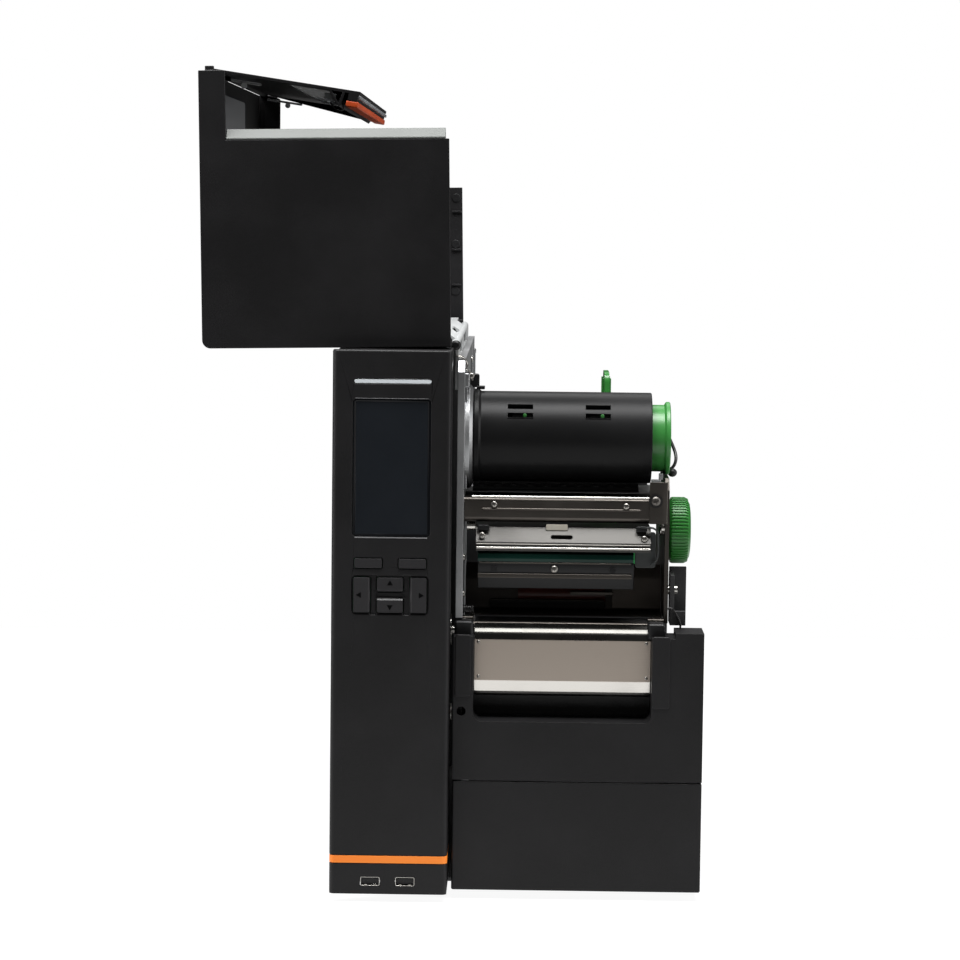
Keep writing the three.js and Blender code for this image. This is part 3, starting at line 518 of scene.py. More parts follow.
# ---------------------------------------------------------------------------------------
# Bright metals: one brushed surface, drawn out along a chosen direction, used for every
# plated, rolled or machined piece. The two sockets for memory sticks come first: folded
# shells with a black tongue and four gold contacts, seen through holes in the tower.
# ---------------------------------------------------------------------------------------
def build_brushed_grain():
    """Fine streaks along one direction with dull finger marks, for plated and rolled metal."""
    group, start, end = new_group(
        "brushed_grain",
        [("Colour", "NodeSocketColor", (0.6, 0.6, 0.6, 1)),
         ("Marks", "NodeSocketColor", (0.4, 0.4, 0.4, 1)),
         ("Roughness", "NodeSocketFloat", 0.3), ("Streaks", "NodeSocketVector", (60.0, 2500.0, 2500.0)),
         ("Dulling", "NodeSocketFloat", 0.15)],
        [("Colour", "NodeSocketColor"), ("Roughness", "NodeSocketFloat"), ("Height", "NodeSocketFloat")],
    )
    nodes, links = group.nodes, group.links
    place = nodes.new("ShaderNodeTexCoord").outputs["Object"]
    drawn = nodes.new("ShaderNodeVectorMath")
    drawn.operation = "MULTIPLY"
    links.new(place, drawn.inputs[0])
    links.new(start.outputs["Streaks"], drawn.inputs[1])
    streaks = noise(nodes, links, drawn.outputs[0], 1.0, 3, 0.6)
    smears = noise(nodes, links, place, 26, 5, 0.6)
    dull = spread(nodes, links, smears, 0.48, 0.70, 0.0, 1.0)
    lines = spread(nodes, links, streaks, 0.35, 0.65, 0.0, 0.55)
    lined = blended(nodes, links, lines, start.outputs["Colour"], start.outputs["Marks"])
    links.new(blended(nodes, links, dull, start.outputs["Colour"], lined), end.inputs["Colour"])
    rougher = nodes.new("ShaderNodeMath")
    rougher.operation = "MULTIPLY_ADD"
    links.new(dull, rougher.inputs[0])
    links.new(start.outputs["Dulling"], rougher.inputs[1])
    links.new(start.outputs["Roughness"], rougher.inputs[2])
    links.new(rougher.outputs[0], end.inputs["Roughness"])
    links.new(streaks, end.inputs["Height"])
    return group


brushed_grain = build_brushed_grain()


def metal(name, colour, marks, roughness, streaks=(60, 2500, 2500), dulling=0.12, bump=0.12):
    return surfaced(
        name, brushed_grain,
        {"Colour": (*colour, 1), "Marks": (*marks, 1), "Roughness": roughness, "Streaks": streaks,
         "Dulling": dulling},
        bump=bump, bump_distance=0.00004, metallic=1.0,
    )


nickel = metal("nickel", (0.66, 0.64, 0.60), (0.42, 0.40, 0.37), 0.24)
gold = metal("gold_contact", (0.83, 0.60, 0.24), (0.6, 0.42, 0.16), 0.25)
satin_black_finish = moulded("satin_black_finish", (0.0070, 0.0070, 0.0074), (0.0125, 0.0125, 0.0132),
                             0.38, grain=1700.0, swing=0.10, bump=0.12, depth=0.00006,
                             Specular_IOR_Level=0.3)
for side in ("left", "right"):
    node = "usb_port_" + side
    low, high = (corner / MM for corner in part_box(node))
    shell = block(node + "_shell", (low.x, high.x), (low.y, high.y), (low.z, high.z), 0.15, 1.0,
                  segments=2)
    mouth = block("mouth", (low.x + 0.4, high.x - 0.4), (low.y - 1, high.y - 2),
                  (low.z + 0.4, high.z - 0.4), 0, 0.7)
    cut_away(shell, mouth)
    edge_broken(shell, 0.00008, 2)
    fitted(shell, "chassis", "steel", nickel, node)
    inside = block(node + "_insulator", (low.x + 0.5, high.x - 0.5), (low.y + 2.6, high.y - 1.9),
                   (low.z + 0.5, high.z - 0.5), 0.3)
    fitted(inside, "chassis", "satin_black", satin_black_finish)
    tongue = block(node + "_tongue", (low.x + 1.4, high.x - 1.4), (low.y + 1.4, high.y - 1.6),
                   (high.z - 3.0, high.z - 1.3), 0.15)
    fitted(tongue, "chassis", "satin_black", satin_black_finish)
    for i in range(4):
        x = low.x + 3.2 + i * (high.x - low.x - 6.4) / 3
        contact = block("%s_contact_%d" % (node, i + 1), (x - 0.5, x + 0.5), (low.y + 1.9, high.y - 2),
                        (high.z - 3.1, high.z - 2.95), 0.03, segments=1)
        fitted(contact, "chassis", "steel", gold)
    for i, x in enumerate((low.x + 3.4, high.x - 3.4)):
        spring = block("%s_spring_%d" % (node, i + 1), (x - 1.1, x + 1.1), (low.y + 1.2, low.y + 6),
                       (low.z + 0.35, low.z + 1.0), 0.2)
        fitted(spring, "chassis", "steel", nickel)

# ---------------------------------------------------------------------------------------
# Electronics side: a folded steel cover over the boards, painted in the same grained black,
# with two rows of vents low down, held by screws along its front and rear edges.
# ---------------------------------------------------------------------------------------
def turned(name, stations, centre, axis="X", steps=64, edge=0.0, segments=2):
    """A turned piece: a disc drawn out along an axis, station by station: (distance, radius)."""
    select_none()
    way = AXES[axis]
    turn = {"X": (0, math.radians(90), 0), "Y": (math.radians(-90), 0, 0), "Z": (0, 0, 0)}[axis]
    at, radius = stations[0]
    origin = Vector(centre) * MM
    bpy.ops.mesh.primitive_circle_add(
        vertices=steps, radius=radius * MM, fill_type="NGON", location=origin + way * at * MM,
        rotation=turn,
    )
    piece = bpy.context.object
    piece.name = name
    bpy.ops.object.transform_apply(location=True, rotation=True, scale=True)
    bpy.ops.object.mode_set(mode="EDIT")
    bpy.ops.mesh.select_all(action="SELECT")
    for next_at, next_radius in stations[1:]:
        bpy.ops.mesh.extrude_region_move(TRANSFORM_OT_translate={"value": way * (next_at - at) * MM})
        grown = next_radius / radius
        scale = [1 if letter == axis else grown for letter in "XYZ"]
        bpy.ops.transform.resize(value=scale, center_override=origin + way * next_at * MM)
        at, radius = next_at, next_radius
    bpy.ops.mesh.select_all(action="SELECT")
    bpy.ops.mesh.normals_make_consistent(inside=False)
    bpy.ops.object.mode_set(mode="OBJECT")
    return edge_broken(piece, edge * MM, segments, 20)


def build_screw():
    """A pan-head screw with a cross recess, its head towards +Z and its seat at the origin."""
    head = turned("screw_pattern", [(-1.5, 1.4), (0, 1.4), (0.01, 2.7), (0.8, 2.7), (1.45, 2.2),
                                    (1.8, 1.2)], (0, 0, 0), "Z", 32)
    cut_away(head, block("slot_a", (-1.5, 1.5), (-0.28, 0.28), (0.9, 3), 0),
             block("slot_b", (-0.28, 0.28), (-1.5, 1.5), (0.9, 3), 0))
    edge_broken(head, 0.00008, 1)
    mesh = head.data.copy()
    bpy.data.objects.remove(head)
    return mesh


screw_mesh = build_screw()
FACING = {
    "-Z": Matrix.Rotation(math.pi, 4, "X"),
    "-Y": Matrix.Rotation(math.radians(90), 4, "X"),
    "+Y": Matrix.Rotation(math.radians(-90), 4, "X"),
    "+X": Matrix.Rotation(math.radians(90), 4, "Y"),
    "-X": Matrix.Rotation(math.radians(-90), 4, "Y"),
}
screw_steel = metal("screw_steel", (0.34, 0.325, 0.30), (0.18, 0.17, 0.16), 0.28)
screw_black = metal("screw_black", (0.055, 0.054, 0.054), (0.03, 0.03, 0.03), 0.34)


def screws(name, places, facing, body="chassis", size=1.0, material=None):
    """Copies of the one screw at several places, each turned to a different angle."""
    first_turn, next_turn = 20, 37
    for i, place in enumerate(places):
        piece = bpy.data.objects.new("%s_%d" % (name, i + 1), screw_mesh.copy())
        bpy.context.scene.collection.objects.link(piece)
        spin = Matrix.Rotation(math.radians(first_turn + next_turn * i), 4, "Z")
        size_up = Matrix.Diagonal((size, size, size, 1))
        piece.data.transform(Matrix.Translation(Vector(place) * MM) @ FACING[facing] @ spin @ size_up)
        fitted(piece, body, "steel", material or screw_steel)


side_cover = solid_of("electronics_cover", "electronics_side_cover")
low, high = (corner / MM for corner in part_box("electronics_cover"))
vents = [
    block("vent", (low.x - 1, low.x + 3), (60 + column * 14, 64 + column * 14),
          (40 + row * 34, 64 + row * 34),
          0, 1.9, "X")
    for row in range(2) for column in range(11)
]
cut_away(side_cover, *vents)
edge_broken(side_cover, 0.0006, 2)
fitted(side_cover, "chassis", "black_plastic", shell_black, "electronics_cover")
screws("side_screw", [(low.x, high.y - 9, z) for z in (30, 200, 370)], "-X", material=screw_black)
screws("side_screw_front", [(low.x, low.y + 12, z) for z in (30, 370)], "-X", material=screw_black)

# ---------------------------------------------------------------------------------------
# Rear panel: powder-coated steel sheet with a column of vent slots, a filtered mains inlet
# with a rocker above it, a network socket, and case screws down both edges.
# ---------------------------------------------------------------------------------------
powder_black = moulded("powder_black", (0.012, 0.012, 0.0125), (0.020, 0.020, 0.021), 0.48,
                       grain=700.0, swing=0.08, bump=0.35, depth=0.00012)
rear = edge_broken(solid_of("rear_panel", "rear_sheet"), 0.0003, 2)
fitted(rear, "chassis", "black_sheet", powder_black, "rear_panel")
low, high = (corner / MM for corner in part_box("rear_panel"))
screws("rear_screw", [(x, high.y, z) for x in (low.x + 5, high.x - 5) for z in (14, 140, 260, 384)], "+Y",
       material=screw_black)
inlet = edge_broken(solid_of("power_inlet", "mains_inlet"), 0.0003, 2)
fitted(inlet, "chassis", "satin_black", satin_black_finish, "power_inlet")
low, high = (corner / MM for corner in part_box("power_inlet"))
middle_x = (low.x + high.x) / 2
for i, (dx, dz) in enumerate(((-7, 1.8), (7, 1.8), (0, -2.2))):
    pin = block("mains_pin_%d" % (i + 1), (middle_x + dx - 1, middle_x + dx + 1),
                (high.y - 17, high.y - 4), (60 + dz - 2, 60 + dz + 2), 0.35)
    fitted(pin, "chassis", "steel", nickel)
screws("inlet_screw", [(middle_x, high.y, z) for z in (low.z + 2.4, high.z - 1.6)], "+Y", size=0.6)
rocker = edge_broken(solid_of("power_rocker", "rocker_cap"), 0.0004, 3, 12)
fitted(rocker, "rocker", "satin_black", satin_black_finish, "power_rocker")
socket = edge_broken(solid_of("network_port", "network_socket"), 0.00015, 2)
fitted(socket, "chassis", "steel", nickel, "network_port")
low, high = (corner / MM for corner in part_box("network_port"))
for i in range(8):
    x = (low.x + high.x) / 2 - 3.9 + i * 1.1
    wire = block("network_wire_%d" % (i + 1), (x - 0.2, x + 0.2), (high.y - 13, high.y - 4),
                 (high.z - 4.6, high.z - 4.0), 0.05, segments=1)
    fitted(wire, "chassis", "steel", gold)

# ---------------------------------------------------------------------------------------
# Base and feet: a coated steel tray on four turned rubber feet, each held by a screw.
# ---------------------------------------------------------------------------------------
tray = edge_broken(solid_of("base_tray", "base_sheet"), 0.0003, 2)
fitted(tray, "chassis", "black_sheet", powder_black, "base_tray")
rubber_black = moulded("rubber_black", (0.010, 0.010, 0.010), (0.022, 0.022, 0.022), 0.75,
                       grain=1100.0, swing=0.10, bump=0.4, depth=0.00012)
for node in ("foot_front_left", "foot_front_right", "foot_rear_left", "foot_rear_right"):
    low, high = (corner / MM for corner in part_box(node))
    centre = ((low.x + high.x) / 2, (low.y + high.y) / 2, 0)
    pad = turned(node + "_pad", [(1.6, 3.2), (0.01, 3.4), (0, 9.2), (1.2, 10.7), (high.z, 11)], centre,
                 "Z", 56, 0.25)
    fitted(pad, "chassis", "rubber", rubber_black, node)
    screws(node + "_screw", [(centre[0], centre[1], 2.4)], "-Z", size=0.9)

# ---------------------------------------------------------------------------------------
# Die-cast wall: the aluminium casting that everything on the media side hangs from, with
# shallow ribs, screws down its face, and a plate and a black film clip at its top corner.
# ---------------------------------------------------------------------------------------
cast_skin = moulded("cast_skin", (0.33, 0.335, 0.34), (0.46, 0.465, 0.47), 0.46,
                    grain=420.0, swing=0.16, bump=0.3, depth=0.00015, metallic=1.0)
wall = edge_broken(solid_of("centre_frame", "die_cast_wall"), 0.0011, 4)
fitted(wall, "chassis", "die_cast", cast_skin, "centre_frame")
wall_face = 8.3
wall_x = (wall_face, wall_face + 1.6)
for i, (y, z, height) in enumerate(((-196, 330, 80), (60, 330, 90), (190, 300, 150))):
    rib = block("wall_rib_%d" % (i + 1), wall_x, (y - 1.5, y + 1.5), (z - height / 2, z + height / 2),
                0.6)
    fitted(rib, "chassis", "die_cast", cast_skin)
top_plate = block("wall_top_plate", (4.2, 11.4), (-205, -150), (364, 374.6), 1.2)
fitted(top_plate, "chassis", "aluminium", cast_skin)
screws("wall_screw", [(wall_face, -203, 283), (wall_face, -203, 241.5), (wall_face, -203, 215),
                      (wall_face, -190, 362), (wall_face, 30, 60), (wall_face, 170, 60),
                      (wall_face, 60, 372), (wall_face, 210, 372), (wall_face, 210, 200)], "+X",
       size=0.95)
clip = block("film_clip", (10.6, 18), (-172, -166), (362.6, 372.4), 0.8, 1.6)
foot = block("film_clip_foot", (16, 22), (-173, -165), (361.2, 363.6), 0.5)
fitted(joined("film_clip", clip, foot), "chassis", "satin_black", satin_black_finish)

# ---------------------------------------------------------------------------------------
# Platen: a black rubber roller bonded on a steel core, in a pressed steel cradle, with a
# belt pulley at the wall end and a circlip at the other.
# ---------------------------------------------------------------------------------------
cradle = edge_broken(solid_of("platen_frame", "platen_cradle"), 0.0003, 2)
dull_steel = metal("dull_steel", (0.15, 0.14, 0.13), (0.09, 0.083, 0.076), 0.36)
fitted(cradle, "chassis", "steel", dull_steel, "platen_frame")
low, high = (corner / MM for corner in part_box("platen_roller"))
axle = ((0, (low.y + high.y) / 2, (low.z + high.z) / 2))
radius = (high.z - low.z) / 2
sleeve = turned("platen_sleeve", [(low.x, 6.3), (low.x + 0.01, radius - 0.8), (low.x + 0.8, radius),
                                  (high.x - 0.8, radius), (high.x, radius - 0.8)], axle, steps=72)
fitted(sleeve, "platen", "rubber", rubber_black, "platen_roller")
low, high = (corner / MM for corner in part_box("platen_shaft"))
shaft = turned("platen_core", [(low.x, 2.6), (low.x + 0.6, 3.2), (17.4, 3.2), (17.5, 6), (142.5, 6),
                               (142.6, 3.2), (high.x - 0.6, 3.2), (high.x, 2.6)], axle, steps=40)
fitted(shaft, "platen", "steel", nickel, "platen_shaft")
pulley_x = (-7, 0)
big_pulley = turned("platen_pulley", [(pulley_x[0], 3.3), (pulley_x[0] + 0.01, 11.4),
                                      (pulley_x[0] + 1, 11.4), (pulley_x[0] + 1.01, 10),
                                      (pulley_x[1] - 1, 10), (pulley_x[1] - 0.99, 11.4),
                                      (pulley_x[1], 11.4)], axle, steps=48)
fitted(big_pulley, "platen", "aluminium", nickel)
clip_ring = turned("platen_circlip", [(high.x - 1.8, 4.9), (high.x - 1.2, 4.9)], axle, steps=36,
                   edge=0.15)
fitted(clip_ring, "platen", "steel", screw_black)

# ---------------------------------------------------------------------------------------
# Tear plate: stainless sheet with a brushed flat face, rolled over at the top for the tear
# edge and folded in at the bottom, held by four small screws; the roll carries a dark copy of
# the metal as painted shade. A black sheet behind the window below it is painted shade for the
# dark inside of the machine, and a raised pad stands on the cover at each side.
# ---------------------------------------------------------------------------------------
def folded_sheet(name, line, ends, thick, bend=1.0, run="X", segments=5, edge=0.08):
    """Sheet metal along a line of (across, up) points, drawn out along X or Y, its folds rounded."""
    select_none()
    (u0, v0), (u1, v1) = line[0], line[1]
    turn = math.atan2(v1 - v0, u1 - u0)
    length = math.dist(line[0], line[1]) * MM
    span = (ends[1] - ends[0]) * MM
    centre = sum(ends) / 2 * MM
    u, v = (u0 + u1) / 2 * MM, (v0 + v1) / 2 * MM
    if run == "X":
        place, rotation, scale = (centre, u, v), (turn, 0, 0), (span, length, 1)
    else:
        place, rotation, scale = (u, centre, v), (0, -turn, 0), (length, span, 1)
    bpy.ops.mesh.primitive_plane_add(size=1, location=place, rotation=rotation)
    piece = bpy.context.object
    piece.name = name
    piece.scale = scale
    bpy.ops.object.transform_apply(location=True, rotation=True, scale=True)

    def across(place):
        return Vector((place.y if run == "X" else place.x, place.z))

    def at_fold(spot):
        return lambda place, way: (abs(way.dot(AXES[run])) > 0.99
                                   and (across(place) - Vector(spot)).length < 0.01)

    choose(piece, "EDGE", at_fold(line[1]))
    for (ua, va), (ub, vb) in zip(line[1:], line[2:]):
        step = (0, ub - ua, vb - va) if run == "X" else (ub - ua, 0, vb - va)
        bpy.ops.mesh.extrude_region_move(TRANSFORM_OT_translate={"value": Vector(step) * MM})
    for spot in line[1:-1]:
        choose(piece, "EDGE", at_fold(spot))
        bpy.ops.mesh.bevel(offset=bend * MM, segments=segments, affect="EDGES")
    bpy.ops.object.mode_set(mode="OBJECT")
    wall = piece.modifiers.new("thickness", "SOLIDIFY")
    wall.thickness = thick * MM
    wall.offset = 0
    wall.use_even_offset = True
    bpy.ops.object.modifier_apply(modifier="thickness")
    return edge_broken(piece, edge * MM, 1, 60)


low, high = (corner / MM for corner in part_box("tear_plate"))
tear_line = [(-207.7, 194.6), (-214.5, 194.6), (-220.6, 193.2), (-224.2, 190.0), (-225.2, 186.0),
             (-225.2, 155.2), (-223.0, 147.2), (-220.4, 144.9), (-212.0, 143.9)]
tear = folded_sheet("tear_sheet", tear_line, (low.x, high.x), 0.9, 1.3, segments=4)
polished = metal("polished_sheet", (0.62, 0.60, 0.565), (0.52, 0.50, 0.47), 0.17, (30, 1500, 1500), 0.10,
                 0.04)
fitted(tear, "chassis", "chrome", polished, "tear_plate")
brushed_flat = metal("brushed_flat", (0.46, 0.40, 0.345), (0.40, 0.345, 0.295), 0.42, (30, 1500, 1500),
                     0.06, 0.05)
# Painted shade: a near-black copy of the sheet's own metal for the rolled top edge.
rolled_edge_shade = metal("rolled_edge_shade", (0.085, 0.083, 0.077), (0.066, 0.064, 0.060), 0.27, (30, 1500, 1500),
                    0.08, 0.05)
tear.data.materials.append(brushed_flat)
tear.data.materials.append(rolled_edge_shade)
flat_foot, flat_head = 156, 185.5
for face in tear.data.polygons:
    if abs(face.normal.y) > 0.99 and flat_foot < face.center.z / MM < flat_head:
        face.material_index = 1
    elif face.center.z / MM > flat_head:
        face.material_index = 2
screws("tear_screw", [(x, -225.6, z) for x in (low.x + 3, high.x - 3) for z in (158.6, 183.6)], "-Y",
       size=0.45)
# Painted shade: a black sheet behind the window stands in for the dark inside of the machine.
shade_sheet = block("window_shade_sheet", (5, 153), (-203, -201.5), (96, 150), 0.3)
fitted(shade_sheet, "chassis", "black_sheet", powder_black)
for i, (x0, x1, z0) in enumerate(((3.6, 15.2, 146.0), (143.8, 156.6, 138.9))):
    pad = block("cover_pad_%d" % (i + 1), (x0, x1), (-240.9, -239.2), (z0, 190.6), 0.8, 2.0, segments=4)
    fitted(pad, "chassis", "black_plastic", shell_black)

# ---------------------------------------------------------------------------------------
# Head bracket: a bridge of folded plated steel over the print head, its top faces in a
# near-black copy of the metal as painted shade, with a pressed crease, two screws and a bright
# rolled ridge along its front. A flange with a washer and screw joins it to the side plate.
# ---------------------------------------------------------------------------------------
plated = metal("plated_sheet", (0.085, 0.077, 0.069), (0.052, 0.046, 0.041), 0.36, (40, 1800, 1800), 0.16,
               0.10)
low, high = (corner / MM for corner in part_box("head_bracket"))
bridge = folded_sheet("head_bridge", [(-122.4, 285.4), (-200, 285.4), (-207.6, 284.9), (-207.6, 270.0),
                                      (-203, 268.5)], (low.x, high.x), 1.6, 1.9, segments=5)
fitted(bridge, "chassis", "steel", plated, "head_bracket")
# Painted shade: a near-black copy of the bridge's own metal, put on its upward-facing faces.
painted_shade_top = metal("painted_shade_top", (0.016, 0.0145, 0.013), (0.010, 0.009, 0.008), 0.55, (40, 1800, 1800),
                  0.10, 0.10)
bridge.data.materials.append(painted_shade_top)
for face in bridge.data.polygons:
    if face.normal.z > 0.95:
        face.material_index = 1
ridge = turned("bridge_ridge", [(low.x + 5, 0.5), (low.x + 5.4, 0.8), (high.x - 1.4, 0.8),
                                (high.x - 1, 0.5)], (0, -206.8, 286.2), steps=24)
fitted(ridge, "chassis", "steel", nickel)
crease = turned("bridge_crease", [(20.9, 0.3), (22.5, 0.85), (134, 0.85), (135.5, 0.3)],
                (0, -208.2, 277.4), steps=20)
fitted(crease, "chassis", "steel", plated)
screws("bridge_screw", [(30.0, -208.6, 280.8), (124.8, -208.6, 280.4)], "-Y", size=0.85)
side = edge_broken(solid_of("side_plate", "side_plate_sheet"), 0.0003, 2)
fitted(side, "chassis", "steel", plated, "side_plate")
flange = folded_sheet("side_flange", [(141.5, -209.2), (151.2, -209.2), (154.3, -208.2), (154.3, -204.5)],
                      (268, 298), 1.2, 0.9, "X", 4)
# The sheet is drawn along X and then turned so that its run stands upright.
flange.data.transform(Matrix(((0, 1, 0, 0), (0, 0, 1, 0), (1, 0, 0, 0), (0, 0, 0, 1))))
fitted(flange, "chassis", "steel", plated)
washer = turned("side_washer", [(0, 5.0), (0.8, 5.0), (0.9, 4.6)], (145.9, -211.0, 284.6), "Y", 36)
fitted(washer, "chassis", "steel", screw_black)
screws("side_screw_head", [(145.9, -211.0, 284.6)], "-Y", size=1.25, material=dull_steel)

# ---------------------------------------------------------------------------------------
# Print head: a satin aluminium heat sink hung on a steel rod, with the glossy ceramic strip,
# black driver board and ground bar below it and a strap at its right end. All lift together.
# ---------------------------------------------------------------------------------------
satin_alu = metal("satin_alu", (0.105, 0.102, 0.097), (0.078, 0.075, 0.071), 0.42, (50, 1600, 1600), 0.10,
                  0.14)
low, high = (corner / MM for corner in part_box("head_plate"))
sink = edge_broken(solid_of("head_plate", "heat_sink"), 0.0006, 4)
fitted(sink, "print_head", "aluminium", satin_alu, "head_plate")
for i, z in enumerate((249.9, 253.0)):
    groove = turned("sink_bead_%d" % (i + 1), [(17.4, 0.4), (17.8, 0.75), (142.2, 0.75), (142.6, 0.4)],
                    (0, -212.2 + i * 0.3, z), steps=20)
    fitted(groove, "print_head", "aluminium", nickel)
screws("sink_screw", [(21.6, -211.6, 258.6), (138.1, -211.6, 257.4)], "-Y", "print_head", 0.85)
for i, (x0, x1) in enumerate(((18, 27), (132, 140))):
    notch = block("sink_notch_%d" % (i + 1), (x0, x1), (-210.6, -204), (262.2, 266.0), 0.5, 1.6)
    fitted(notch, "print_head", "satin_black", satin_black_finish)
tab_cream = moulded("tab_cream", (0.40, 0.37, 0.31), (0.50, 0.47, 0.40), 0.42,
                    grain=1500.0, swing=0.08, bump=0.2, depth=0.00006)
tab = block("head_tab", (67.4, 83), (-208, -203), (262.4, 266.6), 0.4, 0.9)
fitted(tab, "print_head", "aluminium", tab_cream)
strip_green = moulded("strip_green", (0.0030, 0.020, 0.0145), (0.008, 0.045, 0.034), 0.20,
                      grain=500.0, swing=0.10, bump=0.03, depth=0.00004, Specular_IOR_Level=0.22)
strip = folded_sheet("ceramic_strip", [(-200, 246.6), (-209.4, 245.2), (-210.2, 242.4), (-209.8, 239.8)],
                     (18.8, 130.6), 0.8, 0.7, segments=4)
fitted(strip, "print_head", "green_plastic", strip_green, "thermal_strip")
strip_end = moulded("strip_end", (0.02, 0.24, 0.06), (0.05, 0.34, 0.10), 0.25,
                    grain=900.0, swing=0.10, bump=0.05, depth=0.00004)
end = block("ceramic_edge", (130.6, 131.4), (-210.6, -200), (239.4, 247), 0.2)
fitted(end, "print_head", "green_plastic", strip_end)
driver = edge_broken(solid_of("head_block", "driver_block"), 0.0005, 3)
fitted(driver, "print_head", "satin_black", satin_black_finish, "head_block")
bar = block("ground_bar", (18.6, 129.6), (-211.0, -206), (228.0, 231.2), 0.5)
fitted(bar, "print_head", "steel", plated)
lower_lip = turned("driver_lip", [(19.6, 0.3), (20, 0.6), (128.4, 0.6), (128.8, 0.3)], (0, -209.6, 238.8),
                   steps=16)
fitted(lower_lip, "print_head", "steel", plated)
screws("driver_screw", [(73.7, -209.6, 234.6)], "-Y", "print_head", 1.0)
for i, x in enumerate((30.6, 115.6)):
    hole = turned("driver_bush_%d" % (i + 1), [(0, 2.3), (0.5, 2.3), (0.51, 1.4), (0.1, 1.4)],
                  (x, -210.1, 234.2), "Y", 24)
    fitted(hole, "print_head", "satin_black", satin_black_finish)
bracket_pale = metal("bracket_pale", (0.075, 0.079, 0.078), (0.052, 0.055, 0.054), 0.44)
end_plate = block("head_end_plate", (131.6, 146.4), (-207.6, -206.4), (236, 262), 0.35, 2.0)
fitted(end_plate, "print_head", "aluminium", bracket_pale)
strap = folded_sheet("head_strap", [(143.0, 238.5), (147.2, 241.5), (148.2, 250), (147.8, 262.6),
                                    (144.6, 265.4), (135.0, 265.8)], (-213.0, -209.4), 1.2, 1.8, "Y", 5)
fitted(strap, "print_head", "aluminium", bracket_pale)
for i, (x0, x1) in enumerate(((10.2, 17), (150.4, 153.8))):
    stub = turned("pivot_stub_%d" % (i + 1), [(x0, 2.4), (x0 + 0.4, 3.4), (x1 - 0.4, 3.4), (x1, 2.4)],
                  (0, -198, 264.2), steps=32)
    fitted(stub, "print_head" if x1 < 150 else "chassis", "steel", nickel)

# ---------------------------------------------------------------------------------------
# Under the head: a flexible lead with its clamp, a black guide bar, the sloped media plates
# with a baffle beside them, and the thin peel edge. These stay with the chassis.
# ---------------------------------------------------------------------------------------
lead_brown = moulded("lead_brown", (0.045, 0.010, 0.007), (0.10, 0.025, 0.018), 0.35,
                     grain=600.0, swing=0.10, bump=0.2, depth=0.00006)
lead = folded_sheet("flexible_lead", [(-164, 217), (-167, 211), (-164, 203.5)], (48, 112), 0.3, 2.0,
                    segments=4)
fitted(lead, "chassis", "satin_black", lead_brown)
lead_clamp = block("lead_clamp", (86, 117.6), (-168.8, -167.4), (211.0, 213.6), 0.5, 1.0)
fitted(lead_clamp, "chassis", "steel", plated)
guide = block("guide_bar", (27, 112), (-167.6, -162), (200.7, 207.3), 0.5, 2.6)
fitted(guide, "chassis", "satin_black", satin_black_finish)
guide_edge = turned("guide_edge", [(28, 0.25), (29, 0.5), (109, 0.5), (110, 0.25)], (0, -167.8, 206.9),
                    steps=16)
fitted(guide_edge, "chassis", "steel", plated)
slope = folded_sheet("media_slope", [(-190, 198.6), (-165, 199.2), (-159, 222), (-150, 232)],
                     (9.4, 152.6), 0.8, 2.0, segments=4)
slope_grey = metal("slope_grey", (0.090, 0.082, 0.075), (0.055, 0.050, 0.046), 0.50)
fitted(slope, "chassis", "black_sheet", slope_grey)
slope_brown = metal("slope_brown", (0.20, 0.175, 0.155), (0.13, 0.115, 0.10), 0.45)
wall_baffle = block("wall_baffle", (8.6, 19), (-98, -96.5), (206, 268), 0.3)
fitted(wall_baffle, "chassis", "black_sheet", powder_black)
slope_plate = folded_sheet("slope_plate", [(-166.4, 201.5), (-160.8, 223.5), (-156, 232.5)], (117, 152.4),
                           0.5, 1.0)
fitted(slope_plate, "chassis", "black_sheet", slope_brown)
peel = folded_sheet("peel_edge", [(-200, 195.0), (-205.4, 195.4), (-206.6, 194.0)], (14, 152), 0.7, 0.7,
                    segments=4)
fitted(peel, "chassis", "steel", plated)

# ---------------------------------------------------------------------------------------
# Green parts: the ribbon drum's cap and the roll guard are moulded in one tinted clear
# plastic. The head-release knob is a deeper, opaque green with a toothed rim.
# ---------------------------------------------------------------------------------------
green_clear = moulded("green_clear", (0.032, 0.210, 0.034), (0.055, 0.290, 0.060), 0.30, grain=900.0,
                      swing=0.10, bump=0.08, depth=0.00006, Transmission_Weight=0.25, IOR=1.49)
low, high = (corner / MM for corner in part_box("head_knob"))
knob_x0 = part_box("side_plate")[1][0] / MM + 0.6
hub = (0, (low.y + high.y) / 2, (low.z + high.z) / 2)
rim = (high.z - low.z) / 2
tooth_angle = 3
tooth_height = 0.75
knob = turned("release_knob", [(knob_x0, rim - 2.6), (knob_x0 + 1.4, rim - 0.9), (knob_x0 + 3, rim - 0.5),
                               (high.x - 4.6, rim - 0.5), (high.x - 2.0, rim - 1.8),
                               (high.x - 0.5, rim - 4.6), (high.x, rim - 8), (high.x - 1.2, rim - 10),
                               (high.x - 1.2, 3)], hub, steps=120)


def on_tooth(place, way):
    """Every other strip of faces round the knob's side."""
    round_hub = math.degrees(math.atan2(place.z - hub[2], place.y - hub[1]))
    on_side = abs(way.x) < 0.5 and knob_x0 + 2 < place.x < high.x - 3
    return on_side and round(round_hub / tooth_angle - 0.5) % 2 == 0


